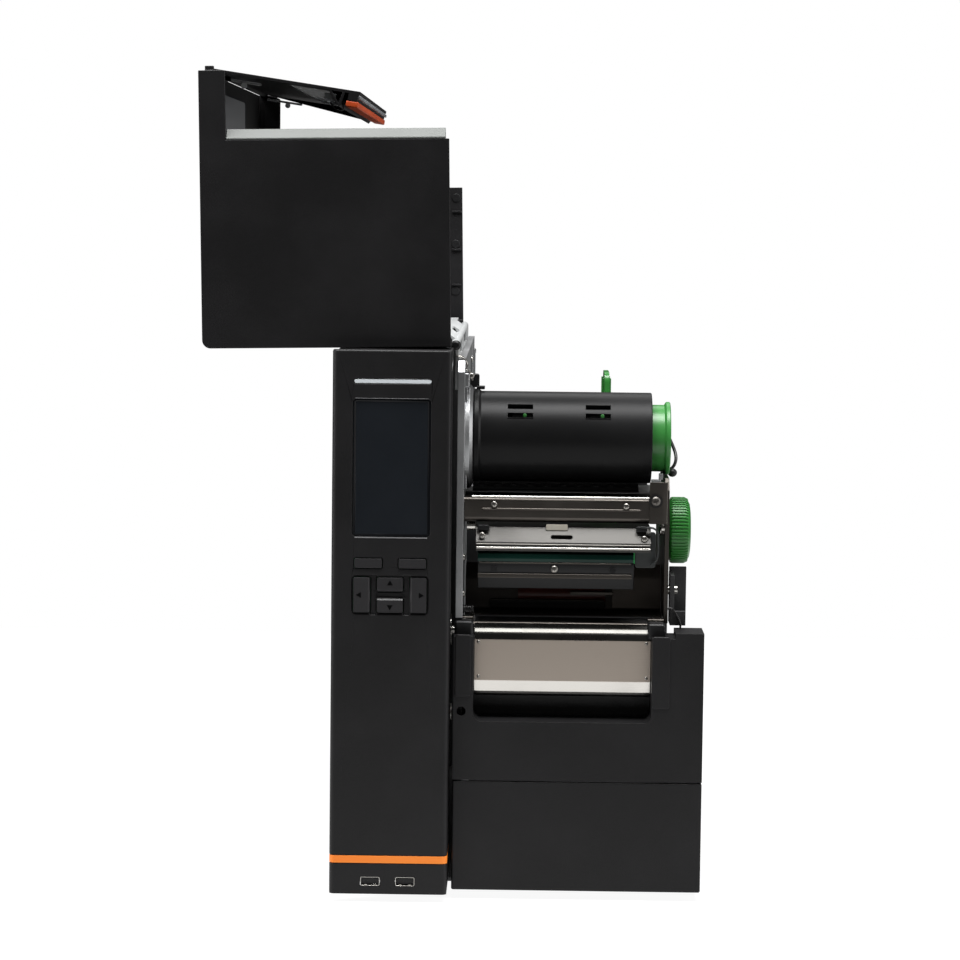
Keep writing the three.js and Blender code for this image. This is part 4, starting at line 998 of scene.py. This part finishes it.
choose(knob, "FACE", on_tooth)
bpy.ops.mesh.extrude_region_shrink_fatten(TRANSFORM_OT_shrink_fatten={"value": tooth_height * MM})
bpy.ops.object.mode_set(mode="OBJECT")
edge_broken(knob, 0.0002, 2, 30)
green_knob = moulded("green_knob", (0.012, 0.125, 0.012), (0.022, 0.180, 0.024), 0.34,
                     grain=900.0, swing=0.10, bump=0.08, depth=0.00006, Specular_IOR_Level=0.4)
fitted(knob, "knob", "green_plastic", green_knob, "head_knob")
spindle = turned("knob_spindle", [(low.x, 3.4), (low.x + 0.6, 4), (knob_x0 + 6, 4)], hub, steps=32)
fitted(spindle, "knob", "steel", nickel)
screws("knob_screw", [(high.x - 1.3, hub[1], hub[2])], "+X", "knob", 1.0)

# ---------------------------------------------------------------------------------------
# Head latch: black folded steel outside the side plate, with a wire hook, a grooved pin it
# catches, and the coil spring and black bushes at the ends of the platen.
# ---------------------------------------------------------------------------------------
latch = edge_broken(solid_of("latch_bracket", "latch_sheet"), 0.0004, 2)
fitted(latch, "chassis", "satin_black", powder_black, "latch_bracket")
pin = turned("latch_pin", [(154.4, 2.8), (154.8, 3.4), (156.6, 3.4), (156.8, 2.8), (157.6, 2.8),
                           (157.8, 3.4), (159.6, 3.4), (159.8, 2.8), (160.6, 2.8), (160.8, 3.4),
                           (162.6, 3.4), (163.0, 2.8)], (0, -200, 219.6), steps=32)
fitted(pin, "chassis", "steel", nickel)


def bent_wire(name, points, radius, body, slot, material):
    """Round wire through given points (mm), its ends capped."""
    path = bpy.data.curves.new(name, "CURVE")
    path.dimensions = "3D"
    path.bevel_depth = radius * MM
    path.bevel_resolution = 4
    path.use_fill_caps = True
    run = path.splines.new("NURBS")
    run.points.add(len(points) - 1)
    for spot, place in zip(run.points, points):
        spot.co = (*(Vector(place) * MM), 1)
    run.use_endpoint_u = True
    run.order_u = 3
    run.resolution_u = 6
    piece = bpy.data.objects.new(name, path)
    bpy.context.scene.collection.objects.link(piece)
    make_active(piece)
    bpy.ops.object.convert(target="MESH")
    piece = bpy.context.object
    bpy.ops.object.shade_smooth_by_angle(angle=math.radians(50))
    return fitted(piece, body, slot, material)


def coil_spring(name, centre, coil, wire, turns, pitch, body, material):
    """A coil spring lying along X: one wire section swept round and along its axis."""
    select_none()
    bpy.ops.mesh.primitive_circle_add(vertices=10, radius=wire * MM, location=(coil * MM, 0, 0),
                                      rotation=(math.radians(90), 0, 0))
    piece = bpy.context.object
    piece.name = name
    bpy.ops.object.transform_apply(location=True, rotation=True, scale=True)
    sweep = piece.modifiers.new("sweep", "SCREW")
    sweep.axis = "Z"
    sweep.screw_offset = pitch * MM
    sweep.iterations = turns
    sweep.steps = 24
    sweep.render_steps = 24
    bpy.ops.object.modifier_apply(modifier="sweep")
    bpy.ops.object.mode_set(mode="EDIT")
    bpy.ops.mesh.select_mode(type="EDGE")
    bpy.ops.mesh.select_all(action="DESELECT")
    bpy.ops.mesh.select_non_manifold()
    bpy.ops.mesh.edge_face_add()
    bpy.ops.mesh.select_all(action="SELECT")
    bpy.ops.mesh.normals_make_consistent(inside=False)
    bpy.ops.object.mode_set(mode="OBJECT")
    lying = Matrix.Rotation(math.radians(90), 4, "Y")
    piece.data.transform(Matrix.Translation(Vector(centre) * MM) @ lying)
    bpy.ops.object.shade_smooth_by_angle(angle=math.radians(60))
    return fitted(piece, body, "steel", material)


bent_wire("latch_hook", [(155.5, -214.6, 207.6), (158, -214.8, 208.4), (160.8, -214.8, 205.2),
                         (163.4, -214.8, 200.5), (165.0, -214.6, 195.5), (164.2, -214.4, 191.8),
                         (161.5, -214.2, 191.2)], 0.75, "chassis", "steel", screw_black)
coil_spring("platen_spring", (7.4, -208.5, 204.6), 2.9, 0.45, 6, 1.45, "chassis", screw_black)
for i, (x0, x1, z0, z1) in enumerate(((2.8, 16.2, 184.6, 198.6), (141.0, 153.6, 186.6, 198.2))):
    bush = block("platen_bush_%d" % (i + 1), (x0, x1), (-228, -213), (z0, z1), 2.2, segments=5)
    fitted(bush, "chassis", "satin_black", satin_black_finish)
    keeper = folded_sheet("bush_keeper_%d" % (i + 1), [(-203.5, z1 + 1.0), (-211.6, z1 + 1.0),
                                                       (-211.6, z1 - 4)], (x0 + 0.6, x1 - 0.6), 0.7, 0.8,
                          segments=4)
    fitted(keeper, "chassis", "steel", plated)
    screws("keeper_screw_%d" % (i + 1), [((x0 + x1) / 2, -212, z1 - 1.8)], "-Y", size=0.6)

# ---------------------------------------------------------------------------------------
# Ribbon take-up: a satin black drum with two pairs of slots, a leaf spring tip showing in
# each, closed by a green cap with a grip bar. A bent guide wire with a ball stands by it.
# ---------------------------------------------------------------------------------------
low, high = (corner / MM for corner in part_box("take_up_drum"))
drum_axis = (0, (low.y + high.y) / 2, (low.z + high.z) / 2)
drum_radius = 33
drum = turned("take_up_barrel", [(low.x, 12), (low.x + 0.01, 34), (low.x + 0.6, 34.6),
                                 (low.x + 3.6, 34.6), (low.x + 4.4, 33.9), (low.x + 5.4, drum_radius),
                                 (38.4, drum_radius), (57.6, drum_radius), (94.6, drum_radius),
                                 (113.6, drum_radius), (high.x - 0.6, drum_radius),
                                 (high.x, drum_radius - 0.5), (high.x, drum_radius - 3),
                                 (low.x + 8, drum_radius - 3), (low.x + 7.9, 12)], drum_axis, steps=160)
slot_cutters = [
    block("drum_slot", (x0, x1), (drum_axis[1] - 36, drum_axis[1] - 20), (z0, z1), 0)
    for x0, x1 in ((39, 57), (95.2, 113)) for z0, z1 in ((342, 345.8), (348.7, 351.8))
]
cut_away(drum, *slot_cutters)
edge_broken(drum, 0.00025, 2, 30, False)
drum_black = moulded("drum_black", (0.0062, 0.0062, 0.0064), (0.0100, 0.0100, 0.0104), 0.38,
                     grain=2000.0, swing=0.06, bump=0.22, depth=0.00006, Specular_IOR_Level=0.13)
fitted(drum, "take_up", "satin_black", drum_black, "take_up_drum")
for i, x in enumerate((51.2, 107.2)):
    z = 343.9
    y = drum_axis[1] - math.sqrt(drum_radius ** 2 - (z - drum_axis[2]) ** 2) + 2.2
    tip = block("spring_tip_%d" % (i + 1), (x - 1.3, x + 1.3), (y - 1.4, y + 1.4), (z - 1.2, z + 1.6),
                0.5, 1.0)
    fitted(tip, "take_up", "green_plastic", green_clear)
    leaf = block("spring_leaf_%d" % (i + 1), (x - 9, x + 5), (y + 1.6, y + 2.6), (z - 1.2, z + 0.8), 0.3)
    fitted(leaf, "take_up", "steel", screw_black)
low, high = (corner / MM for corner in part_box("take_up_cap"))
cap_rim = (high.z - low.z) / 2
cap = turned("take_up_lid", [(low.x, 8), (low.x + 0.01, 23.4), (low.x + 0.6, 24.3), (high.x - 4.6, 24.3),
                             (high.x - 4.0, 25), (high.x - 3.4, cap_rim - 0.4), (high.x - 2.8, cap_rim),
                             (high.x - 0.7, cap_rim), (high.x - 0.1, cap_rim - 0.8), (high.x - 0.1, 22),
                             (low.x + 5, 21.4), (low.x + 4.9, 8)], drum_axis, steps=128)
fitted(cap, "take_up", "green_plastic", green_clear, "take_up_cap")
grip_bar = block("lid_grip", (low.x + 5, high.x - 2), (drum_axis[1] - 21, drum_axis[1] + 21),
                 (drum_axis[2] - 2.2, drum_axis[2] + 2.2), 0.9, 1.2, "X")
fitted(grip_bar, "take_up", "green_plastic", green_clear)
bent_wire("ribbon_guide_wire", [(150.5, -172, 300.5), (155.5, -172, 303), (160.6, -171, 306.5),
                                (162.4, -168, 313), (160.4, -160, 320), (157.6, -150, 326)], 1.2,
          "chassis", "steel", screw_black)
select_none()
bpy.ops.mesh.primitive_uv_sphere_add(segments=32, ring_count=20, radius=3.4 * MM,
                                     location=(159.2 * MM, -173 * MM, 302.2 * MM), scale=(1, 1, 0.92))
knob_ball = bpy.context.object
knob_ball.name = "guide_ball"
bpy.ops.object.transform_apply(location=True, rotation=True, scale=True)
bpy.ops.object.mode_set(mode="EDIT")
bpy.ops.mesh.select_all(action="SELECT")
bpy.ops.mesh.bisect(plane_co=(156.6 * MM, 0, 0), plane_no=(-1, 0, 0), use_fill=True, clear_outer=True)
bpy.ops.object.mode_set(mode="OBJECT")
fitted(edge_broken(knob_ball, 0.0002, 2), "chassis", "satin_black", satin_black_finish)

# ---------------------------------------------------------------------------------------
# Ribbon path: a comb of moulded fingers under the drum on a black rail, a black strip in
# front of it, and a pale stepped bracket where the rail meets the side plate.
# ---------------------------------------------------------------------------------------
low, high = (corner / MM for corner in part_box("ribbon_comb"))
rail = block("comb_rail", (low.x, high.x), (-184, low.y + 24), (287.4, 290.4), 0.4)
fitted(rail, "chassis", "satin_black", satin_black_finish, "ribbon_comb")
comb_back = block("comb_back", (low.x, high.x), (-183.5, -181.5), (289.5, 295.4), 0.3)
fitted(comb_back, "chassis", "satin_black", satin_black_finish)
for i in range(10):
    x = low.x + 3.8 + i * 11.7
    finger = block("comb_finger_%d" % (i + 1), (x, x + 6), (-186, -181), (288.6, 293.9), 0.6, 1.8)
    fitted(finger, "chassis", "satin_black", satin_black_finish)
    pale_pad = block("comb_pad_%d" % (i + 1), (x + 1.2, x + 4.4), (-186.6, -185.6), (290.6, 292.6), 0.3,
                     0.8)
    fitted(pale_pad, "chassis", "steel", bracket_pale)
front_strip = folded_sheet("comb_strip", [(-187.6, 292.0), (-188.4, 289.6), (-196, 288.4)], (14.4, 134.6),
                           0.7, 0.8, segments=4)
fitted(front_strip, "chassis", "satin_black", satin_black_finish)
pale_zinc_and_painted_sheen = moulded("pale_zinc_and_painted_sheen", (0.42, 0.43, 0.43), (0.50, 0.51, 0.51), 0.40,
                    grain=1200.0, swing=0.08, bump=0.1, depth=0.00005)
for i, (x, z) in enumerate(((140.8, 291.8), (147.8, 295.6), (150.8, 300.0))):
    step = block("stepped_bracket_%d" % (i + 1), (x - 6.8 + i * 2.4, x + 4.2 - i * 1.6),
                 (-190.5 + i * 0.4, -184), (z - 2.2, z + 2.5), 0.35)
    fitted(step, "chassis", "steel", pale_zinc_and_painted_sheen)

# ---------------------------------------------------------------------------------------
# Supply side: the ribbon supply core with its three sprung fins, and the label roll's bar
# with the green guard that slides along it.
# ---------------------------------------------------------------------------------------
supply = edge_broken(solid_of("supply_drum", "supply_core"), 0.0004, 2)
fitted(supply, "supply", "satin_black", drum_black, "supply_drum")
bar_piece = edge_broken(solid_of("media_spindle", "roll_bar"), 0.0012, 4)
fitted(bar_piece, "chassis", "satin_black", satin_black_finish, "media_spindle")
guard = edge_broken(solid_of("media_guard", "roll_guard"), 0.0010, 3)
fitted(guard, "guard", "green_plastic", green_clear, "media_guard")
low, high = (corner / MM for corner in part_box("media_guard"))
for i, y in enumerate((96, 124)):
    rib = block("guard_rib_%d" % (i + 1), (low.x + 0.4, high.x - 0.4), (y - 1.1, y + 1.1),
                (272, high.z - 5), 0.5)
    fitted(rib, "guard", "green_plastic", green_clear)

# ---------------------------------------------------------------------------------------
# Cover hinge: pale zinc-plated leaves on one long steel pin, with a row of pan-head screws,
# a rounded black cap on the front knuckle, and two curved plates beside the tower's top.
# All pieces on the cover are drawn with the cover open, as the frame has it.
# ---------------------------------------------------------------------------------------
joints = {joint["name"]: joint for joint in frame["record"]["behaviour"]["joints"]}
hinge_joint = joints["cover_hinge"]
hinge_z = hinge_joint["pos_m"][2]
swing = Matrix.Rotation(-math.radians(hinge_joint["range_deg"][1]), 4, "Y")
about_pin = Matrix.Translation((0, 0, hinge_z))
opened = about_pin @ swing @ about_pin.inverted()


for node, body in (("hinge_base_leaf", "chassis"), ("hinge_cover_leaf", "cover")):
    fitted(edge_broken(solid_of(node, node + "_plate"), 0.0002, 2), body, "steel", pale_zinc_and_painted_sheen, node)
rod_low, rod_high = (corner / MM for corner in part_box("hinge_pin"))
hinge_rod = turned("hinge_rod", [(rod_low.y, 0.7), (rod_low.y + 0.5, 1.2), (rod_high.y - 0.5, 1.2),
                                 (rod_high.y, 0.7)], (0, 0, hinge_z / MM), "Y", 32)
fitted(hinge_rod, "chassis", "steel", nickel, "hinge_pin")
knuckle = turned("knuckle_cap", [(-203.5, 1.6), (-202.9, 2.9), (-201.6, 3.6), (-199.2, 3.6),
                                 (-198.6, 3.2)], (1.2, 0, hinge_z / MM + 0.6), "Y", 32)
fitted(knuckle, "chassis", "satin_black", satin_black_finish)
for i, line in enumerate((
    [(1.6, 386.6), (5.4, 386.0), (8.6, 383.2), (9.6, 378.6)],
    [(3.4, 378.2), (9.0, 377.0), (12.6, 373.4), (13.4, 369.0)],
)):
    plate = folded_sheet("hinge_plate_%d" % (i + 1), line, (-203.4 + i * 3, -188), 1.1, 1.8, "Y", 5)
    fitted(plate, "chassis", "steel", nickel)
screws("hinge_screw", [(6.3, -203.6, 381.0), (12.6, -200.6, 372.4)], "-Y", size=0.8)
screws("hinge_row", [(3.0, y, 372.5) for y in (-150, -60, 40, 130, 205)], "+X", size=0.9)

# ---------------------------------------------------------------------------------------
# Cover: a satin trim band on the front lip, stiffening ribs and screw bosses at the edge of
# the rear end wall, and a grey strip on the side wall as a painted reflection of the bright
# surround on its glossy inner face.
# ---------------------------------------------------------------------------------------
trim = edge_broken(solid_of("cover_trim", "cover_trim_band"), 0.0009, 4)
trim_satin = moulded("trim_satin", (0.130, 0.137, 0.130), (0.155, 0.162, 0.155), 0.50,
                     grain=1400.0, swing=0.05, bump=0.1, depth=0.00005, Specular_IOR_Level=0.3)
fitted(trim, "cover", "satin_aluminium", trim_satin, "cover_trim")
for i, z in enumerate((427.4, 457.4, 489.7)):
    ledge = block("cover_rib_%d" % (i + 1), (-12.0, -4.0), (230.4, 232.4), (z - 0.8, z + 0.8), 0.3)
    fitted(ledge, "cover", "black_plastic", shell_black)
for i, z in enumerate((422.2, 462.1, 501.5)):
    boss = turned("cover_boss_%d" % (i + 1), [(231.3, 3.3), (231.6, 3.6), (232.4, 3.6)], (-8.8, 0, z),
                  "Y", 36)
    fitted(boss, "cover", "black_plastic", satin_black_finish)
# Painted reflection: this grey strip on the cover's side wall stands in for the grazing reflection on its
# glossy inner face; the same grey also serves the door's lip.
lip_and_reflection_grey = moulded("lip_and_reflection_grey", (0.20, 0.205, 0.215), (0.30, 0.305, 0.315), 0.34,
                      grain=700.0, swing=0.12, bump=0.15, depth=0.00008)
side_reflection_strip = block("cover_side_reflection", (-174.8, -174.2), (-195, 60), (548, 574), 0.2, 6.0, "X")
fitted(side_reflection_strip, "cover", "satin_aluminium", lip_and_reflection_grey)

# ---------------------------------------------------------------------------------------
# Door: the folding lower part of the cover. A clear window is bonded in the black panel, and
# its free edge carries the orange pull, a black strip, a grey lip and a small wire loop.
# ---------------------------------------------------------------------------------------
fold_joint = joints["door_fold"]
fold = Matrix.Rotation(math.radians(fold_joint["range_deg"][1]), 4, "Y")
fold_at = Matrix.Translation(opened.inverted() @ Vector(fold_joint["pos_m"]))
to_door = opened @ fold_at @ fold


def hung_on_door(piece):
    """Drawn with the door hanging straight down from its pivot: x outwards, z downwards."""
    piece.data.transform(to_door)
    return piece


pane = edge_broken(solid_of("door_window", "door_pane"), 0.0003, 2)
clear_pane = moulded("clear_pane", (0.80, 0.83, 0.85), (0.86, 0.89, 0.90), 0.06, grain=300.0, swing=0.05,
                     bump=0.01, depth=0.00002, Transmission_Weight=0.95, IOR=1.45)
fitted(pane, "door", "clear_window", clear_pane, "door_window")
pull = edge_broken(solid_of("door_grip", "door_pull"), 0.0009, 4)
# Painted shade: a darker copy of the tower stripe's orange, for the pull that sits in shade.
pull_orange_shaded = moulded("pull_orange_shaded", (0.48, 0.055, 0.006), (0.56, 0.075, 0.010), 0.46,
                      grain=1900.0, swing=0.06, bump=0.15, depth=0.00005)
fitted(pull, "door", "orange_plastic", pull_orange_shaded, "door_grip")
fitted(edge_broken(solid_of("door_pin", "door_rod"), 0.0002, 2), "door", "steel", nickel, "door_pin")
door_y = (-203, 228)
strip_black = hung_on_door(block("door_strip", (-8.6, -5.4), (door_y[0] + 3, door_y[1] - 3), (-95.6, -88),
                                 0.6))
fitted(strip_black, "door", "black_plastic", satin_black_finish)
tip = hung_on_door(block("door_lip", (-3.2, -0.8), (door_y[0] + 2, door_y[1] - 2), (-105.8, -102.5), 0.5))
fitted(tip, "door", "satin_aluminium", lip_and_reflection_grey)
end_bracket = hung_on_door(block("door_end_bracket", (-6.4, -2.0), (door_y[0] + 0.8, door_y[0] + 3),
                                 (-88.5, -80), 0.4))
fitted(end_bracket, "door", "satin_aluminium", bracket_pale)
loop = [(-5.0, -92), (-10.5, -95.5), (-13.8, -93), (-12.2, -87.8), (-8.4, -85)]
hung_on_door(bent_wire("door_latch_loop", [(x, door_y[0] + 4, z) for x, z in loop], 0.6, "door", "steel",
                       screw_black))
for i, y in enumerate((door_y[0] + 2, door_y[1] - 2)):
    gusset = hung_on_door(block("door_gusset_%d" % (i + 1), (-5.5, -1.0), (y - 1, y + 1), (-12.5, -1.5),
                                0.4, 3.0))
    fitted(gusset, "door", "satin_aluminium", bracket_pale)

# ---------------------------------------------------------------------------------------
# Cover stays: two plated links inside the cover that ride with the door's root, each with a
# bolt, both in a pale grey as painted reflection, and a black lining strip in the cover's rear
# corner.
# ---------------------------------------------------------------------------------------
# Painted reflection: the links and bolts take the pale grey so that they read bright where they sit in
# shade.
for i, y in enumerate((door_y[0] + 7, door_y[1] - 7)):
    link = hung_on_door(block("stay_link_%d" % (i + 1), (-4.6, -2.8), (y - 0.6, y + 0.6), (-34, -4), 0.25,
                              1.0))
    fitted(link, "door", "steel", pale_zinc_and_painted_sheen)
    bolt = hung_on_door(turned("stay_bolt_%d" % (i + 1), [(y - 2.4, 1.0), (y - 2.2, 2.2), (y - 0.8, 2.2),
                                                          (y - 0.6, 1.2), (y + 3, 1.2)], (-6.2, 0, -22),
                               "Y", 28))
    fitted(bolt, "door", "steel", pale_zinc_and_painted_sheen)
rear_lining = block("cover_rear_lining", (-172, -159.1), (226.6, 229.4), (548, 584), 0.4, 2.0)
fitted(rear_lining, "cover", "black_plastic", satin_black_finish)

# ---------------------------------------------------------------------------------------
# Inside the housings: the display module, key and main boards, power supply, drive motor
# with its pulley, and the belt that turns the platen.
# ---------------------------------------------------------------------------------------
def build_board_tracks():
    """Solder mask over copper tracks, with pads and vias, for circuit boards."""
    group, start, end = new_group(
        "board_tracks",
        [("Colour", "NodeSocketColor", (0.01, 0.08, 0.03, 1)),
         ("Marks", "NodeSocketColor", (0.02, 0.14, 0.05, 1)),
         ("Roughness", "NodeSocketFloat", 0.3), ("Pitch", "NodeSocketFloat", 260.0)],
        [("Colour", "NodeSocketColor"), ("Roughness", "NodeSocketFloat"), ("Height", "NodeSocketFloat")],
    )
    nodes, links = group.nodes, group.links
    place = nodes.new("ShaderNodeTexCoord").outputs["Object"]
    cells = nodes.new("ShaderNodeTexVoronoi")
    cells.distance = "CHEBYCHEV"
    cells.feature = "F1"
    links.new(place, cells.inputs["Vector"])
    links.new(start.outputs["Pitch"], cells.inputs["Scale"])
    tracks = spread(nodes, links, cells.outputs["Distance"], 0.30, 0.36, 0.0, 1.0)
    links.new(blended(nodes, links, tracks, start.outputs["Colour"], start.outputs["Marks"]),
              end.inputs["Colour"])
    patches = noise(nodes, links, place, 40, 3)
    rough = nodes.new("ShaderNodeMath")
    rough.operation = "MULTIPLY_ADD"
    links.new(patches, rough.inputs[0])
    rough.inputs[1].default_value = 0.15
    links.new(start.outputs["Roughness"], rough.inputs[2])
    links.new(rough.outputs[0], end.inputs["Roughness"])
    links.new(tracks, end.inputs["Height"])
    return group


board_green = surfaced(
    "board_green", build_board_tracks(),
    {"Colour": (0.008, 0.070, 0.028, 1), "Marks": (0.018, 0.130, 0.055, 1), "Roughness": 0.28,
     "Pitch": 260.0},
    bump=0.3, bump_distance=0.00008,
)
for node in ("control_board", "main_board"):
    board = edge_broken(solid_of(node, node + "_laminate"), 0.0001, 1)
    fitted(board, "chassis", "circuit_board", board_green, node)
for node, slot, material in (
    ("display_module", "satin_aluminium", satin_alu),
    ("power_supply", "steel", dull_steel),
    ("drive_motor", "black_sheet", powder_black),
    ("drive_belt", "rubber", rubber_black),
):
    fitted(edge_broken(solid_of(node, node + "_body"), 0.0004, 2), "chassis", slot, material, node)
motor_pulley = edge_broken(solid_of("motor_pulley", "motor_pulley_hub"), 0.0002, 2)
fitted(motor_pulley, "motor_shaft", "aluminium", nickel, "motor_pulley")
low, high = (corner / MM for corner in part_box("main_board"))
for i, (dy, dz, w, h) in enumerate(((40, 40, 26, 26), (100, 60, 14, 20), (60, 120, 30, 12),
                                    (140, 130, 18, 18))):
    y0, z0 = low.y + dy, low.z + dz
    if y0 + w < high.y and z0 + h < high.z:
        chip = block("board_chip_%d" % (i + 1), (high.x, high.x + 2), (y0, y0 + w), (z0, z0 + h), 0.2)
        fitted(chip, "chassis", "satin_black", satin_black_finish)
